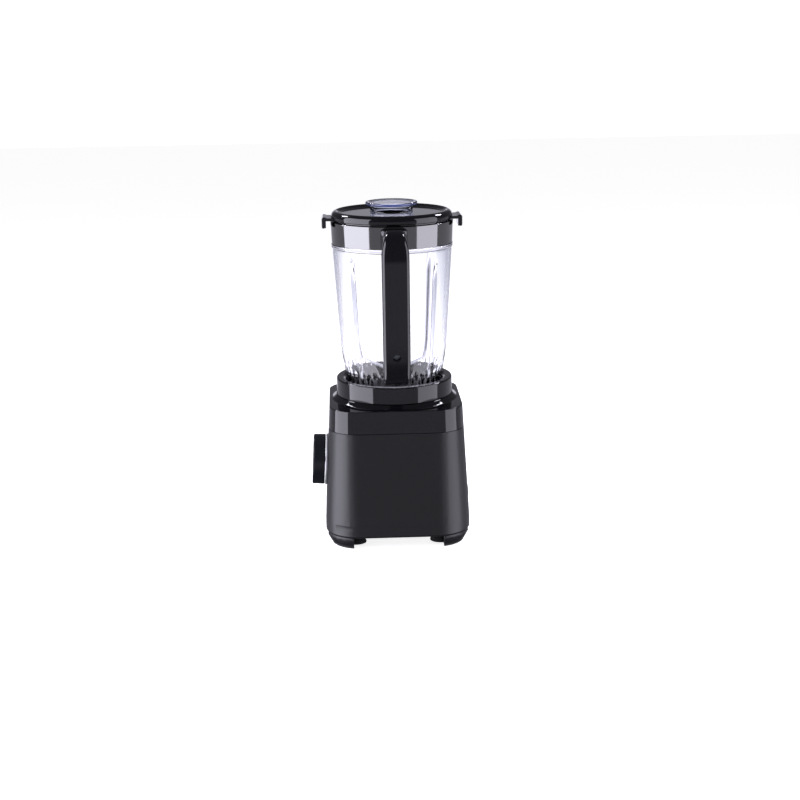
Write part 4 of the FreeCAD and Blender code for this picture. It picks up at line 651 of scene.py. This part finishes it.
def makeTopCover():
    c = coverSize
    low = squareOutline(wallRadius(c["low"]))
    edge = squareOutline(wallRadius(c["shoulder"] - 2))
    angles = [angle for radius, angle in edge]

    def circle(radius, height):
        return [(radius, angle, height) for angle in angles]

    def offset(outline, inwards, rise):
        return [(radius - inwards, angle, rise) for radius, angle in outline]

    # the crisp top edge follows the shoulder's slope, so it isn't level
    crisp = [(radius, angle, coneHeight(radius)) for radius, angle in edge]
    inner = squareOutline(wallRadius(c["low"]) - c["inset"])
    rows = [
        offset(low, c["lowBreak"], c["low"]), offset(low, 0, c["low"] + c["lowBreak"]),
        [(radius + 0.03, angle, height - c["edge"]) for radius, angle, height in crisp],
        [(radius - 0.26, angle, height - 0.24) for radius, angle, height in crisp],
        [(radius - c["edge"], angle, coneHeight(radius - c["edge"])) for radius, angle, height in crisp],
        circle(c["flare"] + c["flareStart"], coneHeight(c["flare"] + c["flareStart"])),
        circle(c["flare"] + c["softFlare"], c["flareHeight"]),
        circle(c["flare"] - c["softFlare"], c["flareHeight"] + 0.9),
        circle(c["neck"] + 0.4, c["seat"] - 0.5), circle(c["neck"] - 0.2, c["seat"]),
        circle(c["well"] + c["softSeat"], c["seat"]), circle(c["well"], c["seat"] - c["softSeat"]),
        circle(c["well"], c["wellFloor"] + c["softFloor"]),
        circle(c["well"] - c["softFloor"], c["wellFloor"]), circle(c["shaftHole"] + 0.5, c["wellFloor"]),
        circle(c["shaftHole"], c["wellFloor"] - 0.5), circle(c["shaftHole"], c["under"]),
        offset(inner, 0, c["under"]), offset(inner, 0, c["low"])]
    bm = bmesh.new()
    skinRings(bm, [layRing(bm, row) for row in rows])
    finishPiece("topCoverShell", bm, "base", "gloss_black", ["top_cover"], sharpAngle=50)


# grip

gripSize = {"half": 15.5, "front": 112.0, "depth": 17.0, "bevel": 5.2, "innerBevel": 2.0,
            "bandTop": 377.5, "bandLow": 351.4, "lug": 234.0, "lugRadius": 6.0,
            "recess": 4.4, "recessDepth": 22.0, "narrowFrom": 86.0, "narrowDrop": 30.0,
            "narrowing": 0.4, "narrowRun": 6.0, "bandSeat": 70.2, "wallFit": 0.2}


def makeGrip():
    g = gripSize
    front, inner, top, lug = g["front"], g["front"] - g["depth"], g["bandTop"], g["lug"]
    # side view of the grip: x, z and the rounding of each corner
    outline = [
        (69.0, g["bandLow"] + 2.5, 0), (69.0, top - 1, 0), (front - 15, top - 0.4, 6.6),
        (front - 3.6, top - 12, 7), (front, top - 34, 10),
        (front - 2.6, lug + 19, 14), (front - 6, lug - 12, 9), (front - 12, lug - 30, 5.6),
        (front - 21, lug - 33.5, 3), (front - 28, lug - 28, 3), (front - 30, lug - g["lugRadius"] - 4, 3),
        (62.5, lug - g["lugRadius"] - 4, 0), (62.5, lug + g["lugRadius"] + 4, 0),
        (inner - 9, lug + g["lugRadius"] + 5, 4.4), (inner - 2.5, lug + 22, 7.2), (inner, top - 50, 10),
        (inner - 2, top - 33, 5.6), (inner - 10, g["bandLow"] + 1, 4.6)]
    bm = bmesh.new()
    corners = [bm.verts.new((mm(x), mm(-g["half"]), mm(z))) for x, z, setback in outline]
    for first, second in zip(corners, corners[1:] + corners[:1]):
        bm.edges.new((first, second))
    for corner, (x, z, setback) in zip(corners, outline):
        if setback:
            bmesh.ops.bevel(bm, geom=[corner], offset=mm(setback), offset_type="OFFSET", segments=8,
                            profile=0.5, affect="VERTICES", material=-1)
    side = bmesh.ops.contextual_create(bm, geom=bm.edges[:])["faces"]
    grown = bmesh.ops.extrude_face_region(bm, geom=side)
    moved = [item for item in grown["geom"] if isinstance(item, bmesh.types.BMVert)]
    bmesh.ops.translate(bm, vec=(0, mm(2 * g["half"]), 0), verts=moved)
    closeSkin(bm)
    for outside, width in ((True, g["bevel"]), (False, g["innerBevel"])):
        rim = [edge for edge in bm.edges if isGripRim(edge) and isGripOutside(edge) == outside]
        bmesh.ops.bevel(bm, geom=rim, offset=mm(width), offset_type="OFFSET", segments=6,
                        profile=0.5, affect="EDGES", clamp_overlap=False, material=-1)
    # its ends follow the round of the band and of the jar's wall
    for vert in bm.verts:
        height = vert.co.z * 1000
        if vert.co.x < mm(69.2) and height > g["bandLow"]:
            vert.co.x = math.sqrt(mm(g["bandSeat"]) ** 2 - vert.co.y ** 2)
        elif vert.co.x < mm(63) and height < g["bandLow"]:
            vert.co.x = math.sqrt(mm(jarWallRadius(height) + g["wallFit"]) ** 2 - vert.co.y ** 2)
    # the arch narrows towards its crown
    for vert in bm.verts:
        if vert.co.x > mm(g["narrowFrom"]) and vert.co.z > mm(top - g["narrowDrop"]):
            rise = min((vert.co.z * 1000 - top + g["narrowDrop"]) / g["narrowDrop"], 1)
            outwards = min((vert.co.x * 1000 - g["narrowFrom"]) / g["narrowRun"], 1)
            vert.co.y *= 1 - g["narrowing"] * rise ** 2 * outwards
    sinkRecess(bm)
    finishPiece("grip", bm, "jar", "gloss_black", ["handle"], sharpAngle=32)


def sinkRecess(bm):
    # blind round recess over the screw that holds the grip to the jar
    g = gripSize
    shapes = []
    bore = bmesh.new()
    bmesh.ops.create_cone(bore, cap_ends=True, segments=48, radius1=mm(g["recess"]),
                          radius2=mm(g["recess"]), depth=mm(2 * g["recessDepth"]))
    bmesh.ops.rotate(bore, cent=(0, 0, 0), matrix=Matrix.Rotation(math.radians(90), 3, "Y"),
                     verts=bore.verts)
    bmesh.ops.translate(bore, vec=(mm(g["front"]), 0, mm(g["lug"])), verts=bore.verts)
    for shape, label in ((bm, "uncutGrip"), (bore, "recessBore")):
        mesh = bpy.data.meshes.new(label)
        shape.to_mesh(mesh)
        thing = bpy.data.objects.new(label, mesh)
        scene.collection.objects.link(thing)
        shapes.append(thing)
    cut = shapes[0].modifiers.new("recess", "BOOLEAN")
    cut.object = shapes[1]
    cut.operation = "DIFFERENCE"
    cut.solver = "EXACT"
    bpy.context.view_layer.update()
    sunk = bpy.data.meshes.new_from_object(shapes[0].evaluated_get(bpy.context.evaluated_depsgraph_get()))
    bm.clear()
    bm.from_mesh(sunk)
    bore.free()
    bpy.data.meshes.remove(sunk)
    for thing in shapes:
        mesh = thing.data
        bpy.data.objects.remove(thing)
        bpy.data.meshes.remove(mesh)


def isGripRim(edge):
    # runs along one of the two flat sides
    near = mm(0.02)
    sides = [abs(abs(vert.co.y) - mm(gripSize["half"])) < near for vert in edge.verts]
    level = abs(edge.verts[0].co.y - edge.verts[1].co.y) < near
    return all(sides) and level and max(vert.co.x for vert in edge.verts) > mm(69.5)


def isGripOutside(edge):
    g = gripSize
    middle = (edge.verts[0].co + edge.verts[1].co) / 2
    return (middle.x > mm(g["front"] - g["depth"] + 2) or middle.z > mm(g["bandTop"] - 3)
            or middle.z < mm(g["lug"] - 20))


# knob, its ring and the pointer

knobSize = {"height": 88.8, "lean": 3.12, "ring": 30.8, "ringThick": 2.4, "gap": 0.4, "radius": 30.4,
            "thick": 14.9, "dish": 1.1, "pointer": (1.8, 15.0, 1.0), "pointerOut": 15.5,
            "pointerEdge": 0.35}


def ontoFrontWall(bm):
    # stands a part that was turned about the vertical axis on the leaning front wall
    k = knobSize
    half = casing["arcCentre"] + wallRadius(k["height"])
    tip = Matrix.Rotation(math.radians(90 - k["lean"]), 3, "X")
    bmesh.ops.rotate(bm, cent=(0, 0, 0), matrix=tip, verts=bm.verts)
    bmesh.ops.translate(bm, vec=(0, mm(-half), mm(k["height"])), verts=bm.verts)


def makeKnobRing():
    k = knobSize
    bm = bmesh.new()
    drawOutline(bm, [(8, 0.02), (k["ring"], 0.02, 0.3), (k["ring"], k["ringThick"], 0.7),
                     (8, k["ringThick"], 0.3)])
    spinRing(bm, 160)
    ontoFrontWall(bm)
    finishPiece("knobRing", bm, "base", "silver_ring", ["knob_ring"])


def makeKnob():
    k = knobSize
    low = k["ringThick"] + k["gap"]
    top = low + k["thick"]
    bm = bmesh.new()
    drawOutline(bm, [(0, low), (k["radius"] - 0.6, low, 0.5), (k["radius"], low + 1.2, 0.4),
                     (k["radius"] - 0.35, top, 1.9), (k["radius"] - 4.5, top, 1.2),
                     (k["radius"] - 6.0, top - k["dish"], 1.2), (0, top - k["dish"])], closed=False)
    spinRing(bm, 160)
    ontoFrontWall(bm)
    finishPiece("knobBody", bm, "knob", "knob_black", ["knob"])


def makePointer():
    # raised bar that points at the chosen speed
    k = knobSize
    top = k["ringThick"] + k["gap"] + k["thick"]
    bm = bmesh.new()
    bmesh.ops.create_cube(bm, size=1)
    bmesh.ops.scale(bm, vec=[mm(length) for length in k["pointer"]], verts=bm.verts)
    bmesh.ops.translate(bm, vec=(0, mm(k["pointerOut"]), mm(top - k["dish"] + 0.2)), verts=bm.verts)
    bmesh.ops.bevel(bm, geom=bm.edges[:], offset=mm(k["pointerEdge"]), offset_type="OFFSET", segments=3,
                    profile=0.5, affect="EDGES", clamp_overlap=True, material=-1)
    ontoFrontWall(bm)
    finishPiece("knobPointer", bm, "knob", "silver_ring")


# other casing parts keep their made shape and get even shading; the legs and their pads also get softened
# edges


def softenNode(name, nodeName, body, width=0.0):
    angle = 35
    bm = bmesh.new()
    bm.from_mesh(nodes[nodeName].data)
    bmesh.ops.remove_doubles(bm, verts=bm.verts, dist=mm(0.002))
    bmesh.ops.dissolve_limit(bm, angle_limit=math.radians(0.6), verts=bm.verts, edges=bm.edges,
                             use_dissolve_boundaries=False, delimit=set())
    piece = finishPiece(name, bm, body, nodeSlots[nodeName], [nodeName], sharpAngle=angle)
    if width:
        edges = piece.modifiers.new("softEdges", "BEVEL")
        edges.width = mm(width)
        edges.segments = 3
        edges.limit_method = "ANGLE"
        edges.angle_limit = math.radians(angle)
        edges.harden_normals = True
        piece.modifiers.move(1, 0)
    return piece


makeCollar()
makeJar()
makeJarLug()
makeRimBand()
makeLid()
makeCap()
print("jar, lid and cap modelled")
makeTopCover()
makeGrip()
makeKnobRing()
makeKnob()
makePointer()
softenNode("housingShell", "base_housing", "base")
softenNode("trayShell", "bottom_tray", "base")
softenNode("cornerLegs", "corner_legs", "base", 0.8)
softenNode("legPads", "leg_pads", "base", 0.6)
print("base and grip modelled")

# studio

studio = {
    "cameraDistance": 1.776,
    "cameraHeight": 0.606,
    "cameraAzimuth": 88.0,
    "cameraPitch": 14.1,
    "cameraRoll": 0.9,
    "axisOffset": 0.21,
    "focalLength": 68.6,
    "panelDistance": 0.9,
    "lightTint": (0.89, 0.88, 1.0),
    "seenThrough": 1.24,
    "seenAside": 0.5,
    "asideFrom": 0.1,
    "asideTo": 0.6,
    "asideTint": (0.74, 0.77, 1.0),
    "leftPanel": (42, 98, 5.2),
    "rightPanel": (46, 92, 3.2),
    "panelTop": 1.1,
    "panelBottom": -0.6,
    "rimLightAzimuth": 128,
    "rimLightHeight": 40,
    "rimLightDistance": 1.5,
    "rimLightSize": 0.24,
    "rimLightStrength": 40.0,
    "rimLightRaise": 300,
    "paperFade": (-0.97, -0.9),
    "paperLift": (-0.05, 0.2),
    "paperGlow": (1.4, 0.25),
    "roomLift": (-0.06, 0.02),
    "roomGlow": (0.5, 0.12),
    "underFade": (-0.65, -0.3),
    "underGlow": 0.2,
    "asideFade": (-0.96, -0.8),
    "backdrop": 1.15,
    "floorReach": 6,
    "floorGlow": 0.85,
    "topLightSpot": (-0.1, 0, 1.6),
    "topLightSize": 1.2,
    "topLightPower": 9,
}


def makeCamera():
    azimuth = math.radians(studio["cameraAzimuth"])
    data = bpy.data.cameras.new("camera")
    data.lens = studio["focalLength"]
    data.sensor_width = 36
    data.clip_start = 0.05
    camera = bpy.data.objects.new("camera", data)
    scene.collection.objects.link(camera)
    spot = Vector((math.sin(azimuth), -math.cos(azimuth), 0)) * studio["cameraDistance"]
    spot.z = studio["cameraHeight"]
    turned = Matrix.Rotation(azimuth, 4, "Z") @ Matrix.Rotation(-math.radians(studio["axisOffset"]), 4, "Z")
    tipped = Matrix.Rotation(math.radians(90 - studio["cameraPitch"]), 4, "X")
    rolled = Matrix.Rotation(-math.radians(studio["cameraRoll"]), 4, "Z")
    camera.matrix_world = Matrix.Translation(spot) @ turned @ tipped @ rolled
    scene.camera = camera


def makeWorld():
    world = bpy.data.worlds.new("whiteStudio")
    scene.world = world
    world.use_nodes = True
    tree = world.node_tree
    background = tree.nodes["Background"]
    direction = addNode(tree, "ShaderNodeTexCoord").outputs["Generated"]
    split = addNode(tree, "ShaderNodeSeparateXYZ", None, {"Vector": direction})

    def fade(value, edges, ends):
        # a soft step of one direction component between two values
        step = addNode(tree, "ShaderNodeMapRange", {"interpolation_type": "SMOOTHSTEP"},
                       {"Value": value, "From Min": edges[0], "From Max": edges[1],
                        "To Min": ends[0], "To Max": ends[1]})
        return step.outputs["Result"]

    # a paper roll behind the object, brightest low down, in a dim room with a grey floor in front
    paper = fade(split.outputs["X"], studio["paperFade"], (1.0, 0.0))
    lift = fade(split.outputs["Z"], studio["paperLift"], studio["paperGlow"])
    roll = addNode(tree, "ShaderNodeMath", {"operation": "MULTIPLY"})
    tree.links.new(paper, roll.inputs[0])
    tree.links.new(lift, roll.inputs[1])
    room = fade(split.outputs["Z"], studio["roomLift"], studio["roomGlow"])
    shade = fade(split.outputs["Z"], studio["underFade"], (studio["underGlow"], 1.0))
    dim = addNode(tree, "ShaderNodeMath", {"operation": "MULTIPLY"})
    tree.links.new(room, dim.inputs[0])
    tree.links.new(shade, dim.inputs[1])
    glow = addNode(tree, "ShaderNodeMath", {"operation": "MAXIMUM"})
    tree.links.new(roll.outputs["Value"], glow.inputs[0])
    tree.links.new(dim.outputs["Value"], glow.inputs[1])
    path = addNode(tree, "ShaderNodeLightPath")
    # light bent aside by the clear plastic meets the dim flanks of the room, which draws its edges
    aside = fade(split.outputs["X"], studio["asideFade"], (studio["seenThrough"], studio["seenAside"]))
    bent = addNode(tree, "ShaderNodeMix", {"data_type": "FLOAT"})
    tree.links.new(path.outputs["Is Transmission Ray"], bent.inputs[0])
    tree.links.new(glow.outputs["Value"], bent.inputs[2])
    tree.links.new(aside, bent.inputs[3])
    strength = addNode(tree, "ShaderNodeMix", {"data_type": "FLOAT"})
    tree.links.new(path.outputs["Is Camera Ray"], strength.inputs[0])
    tree.links.new(bent.outputs[0], strength.inputs[2])
    strength.inputs[3].default_value = studio["backdrop"]
    tint = addNode(tree, "ShaderNodeMix", {"data_type": "RGBA"})
    tree.links.new(path.outputs["Is Glossy Ray"], tint.inputs[0])
    tint.inputs[6].default_value = (1, 1, 1, 1)
    tint.inputs[7].default_value = (*studio["lightTint"], 1)
    tree.links.new(tint.outputs[2], background.inputs["Color"])
    tree.links.new(strength.outputs[0], background.inputs["Strength"])


def viewHeading(azimuth, side):
    # compass heading of something to the left (1) or right (-1) of the camera's own direction
    camera = math.radians(studio["cameraAzimuth"])
    return math.atan2(-math.cos(camera), math.sin(camera)) - side * math.radians(azimuth)


def hangPanel(name, bm, strength):
    # a softbox that lights and reflects but is not itself seen
    mesh = bpy.data.meshes.new(name)
    bm.to_mesh(mesh)
    bm.free()
    panel = bpy.data.objects.new(name, mesh)
    scene.collection.objects.link(panel)
    material = bpy.data.materials.new(name)
    material.use_nodes = True
    tree = material.node_tree
    tree.nodes.remove(tree.nodes["Principled BSDF"])
    light = addNode(tree, "ShaderNodeEmission", None,
                    {"Color": (*studio["lightTint"], 1), "Strength": strength})
    tree.links.new(light.outputs["Emission"], tree.nodes["Material Output"].inputs["Surface"])
    mesh.materials.append(material)
    panel.visible_camera = False
    panel.visible_transmission = False
    panel.visible_shadow = False


def makePanel(name, side, startAngle, endAngle, strength):
    # tall softbox beside the camera
    middle = (startAngle + endAngle) / 2
    half = math.tan(math.radians((endAngle - startAngle) / 2)) * studio["panelDistance"]
    heading = viewHeading(middle, side)
    tall = studio["panelTop"] - studio["panelBottom"]
    bm = bmesh.new()
    bmesh.ops.create_grid(bm, x_segments=1, y_segments=1, size=0.5)
    bmesh.ops.scale(bm, vec=(2 * half, tall, 1), verts=bm.verts)
    bmesh.ops.rotate(bm, cent=(0, 0, 0), matrix=Matrix.Rotation(math.radians(90), 3, "X"), verts=bm.verts)
    bmesh.ops.rotate(bm, cent=(0, 0, 0), matrix=Matrix.Rotation(heading + math.radians(90), 3, "Z"),
                     verts=bm.verts)
    centre = Vector((math.cos(heading), math.sin(heading), 0)) * studio["panelDistance"]
    centre.z = studio["panelBottom"] + tall / 2
    bmesh.ops.translate(bm, vec=centre, verts=bm.verts)
    hangPanel(name, bm, strength)


def makeRimLight(name, side):
    # small bright head high up behind the object, which picks out its rounded rims
    heading = viewHeading(studio["rimLightAzimuth"], side)
    height = math.radians(studio["rimLightHeight"])
    out = Vector((math.cos(heading) * math.cos(height), math.sin(heading) * math.cos(height),
                  math.sin(height)))
    bm = bmesh.new()
    bmesh.ops.create_grid(bm, x_segments=1, y_segments=1, size=studio["rimLightSize"] / 2)
    bmesh.ops.rotate(bm, cent=(0, 0, 0), matrix=out.to_track_quat("Z", "Y").to_matrix(), verts=bm.verts)
    spot = out * studio["rimLightDistance"]
    spot.z += mm(studio["rimLightRaise"])
    bmesh.ops.translate(bm, vec=spot, verts=bm.verts)
    hangPanel(name, bm, studio["rimLightStrength"])


def makeFloor():
    # white sweep, lit to near white so that the object stands on it almost without a shadow
    mesh = bpy.data.meshes.new("floor")
    bm = bmesh.new()
    bmesh.ops.create_grid(bm, x_segments=1, y_segments=1, size=studio["floorReach"])
    bm.to_mesh(mesh)
    bm.free()
    floor = bpy.data.objects.new("floor", mesh)
    scene.collection.objects.link(floor)
    material, tree, shader, place = startMaterial("whiteSweep", "#f4f4f4", 0.9)
    path = addNode(tree, "ShaderNodeLightPath")
    split = addNode(tree, "ShaderNodeSeparateXYZ", None, {"Vector": place})
    across = addNode(tree, "ShaderNodeMath", {"operation": "ABSOLUTE"}, {0: split.outputs["Y"]})
    aside = addNode(tree, "ShaderNodeMapRange", {"interpolation_type": "SMOOTHSTEP"},
                    {"Value": across.outputs["Value"], "From Min": studio["asideFrom"],
                     "From Max": studio["asideTo"], "To Min": 0.0, "To Max": 1.0})
    bent = addNode(tree, "ShaderNodeMapRange", None,
                   {"Value": aside.outputs["Result"], "To Min": studio["seenThrough"],
                    "To Max": studio["seenAside"]})
    lit = addNode(tree, "ShaderNodeMix", {"data_type": "FLOAT"})
    tree.links.new(path.outputs["Is Transmission Ray"], lit.inputs[0])
    lit.inputs[2].default_value = studio["floorGlow"]
    tree.links.new(bent.outputs["Result"], lit.inputs[3])
    tree.links.new(lit.outputs[0], shader.inputs["Emission Strength"])
    cooled = addNode(tree, "ShaderNodeMath", {"operation": "MULTIPLY"},
                     {0: aside.outputs["Result"], 1: path.outputs["Is Transmission Ray"]})
    tint = addNode(tree, "ShaderNodeMix", {"data_type": "RGBA"})
    tree.links.new(cooled.outputs["Value"], tint.inputs[0])
    tint.inputs[6].default_value = (1, 1, 1, 1)
    tint.inputs[7].default_value = (*studio["asideTint"], 1)
    tree.links.new(tint.outputs[2], shader.inputs["Emission Color"])
    mesh.materials.append(material)
    floor.visible_glossy = False


def makeTopLight():
    data = bpy.data.lights.new("topLight", "AREA")
    data.shape = "RECTANGLE"
    data.size = studio["topLightSize"]
    data.size_y = studio["topLightSize"]
    data.energy = studio["topLightPower"]
    light = bpy.data.objects.new("topLight", data)
    light.location = studio["topLightSpot"]
    scene.collection.objects.link(light)
    light.visible_camera = False
    light.visible_glossy = False


makeCamera()
makeWorld()
makePanel("leftPanel", 1, *studio["leftPanel"])
makePanel("rightPanel", -1, *studio["rightPanel"])
makeRimLight("leftRimLight", 1)
makeRimLight("rightRimLight", -1)
makeFloor()
makeTopLight()
scene.view_settings.view_transform = "Standard"
scene.view_settings.look = "None"
print("studio, lights and camera set")
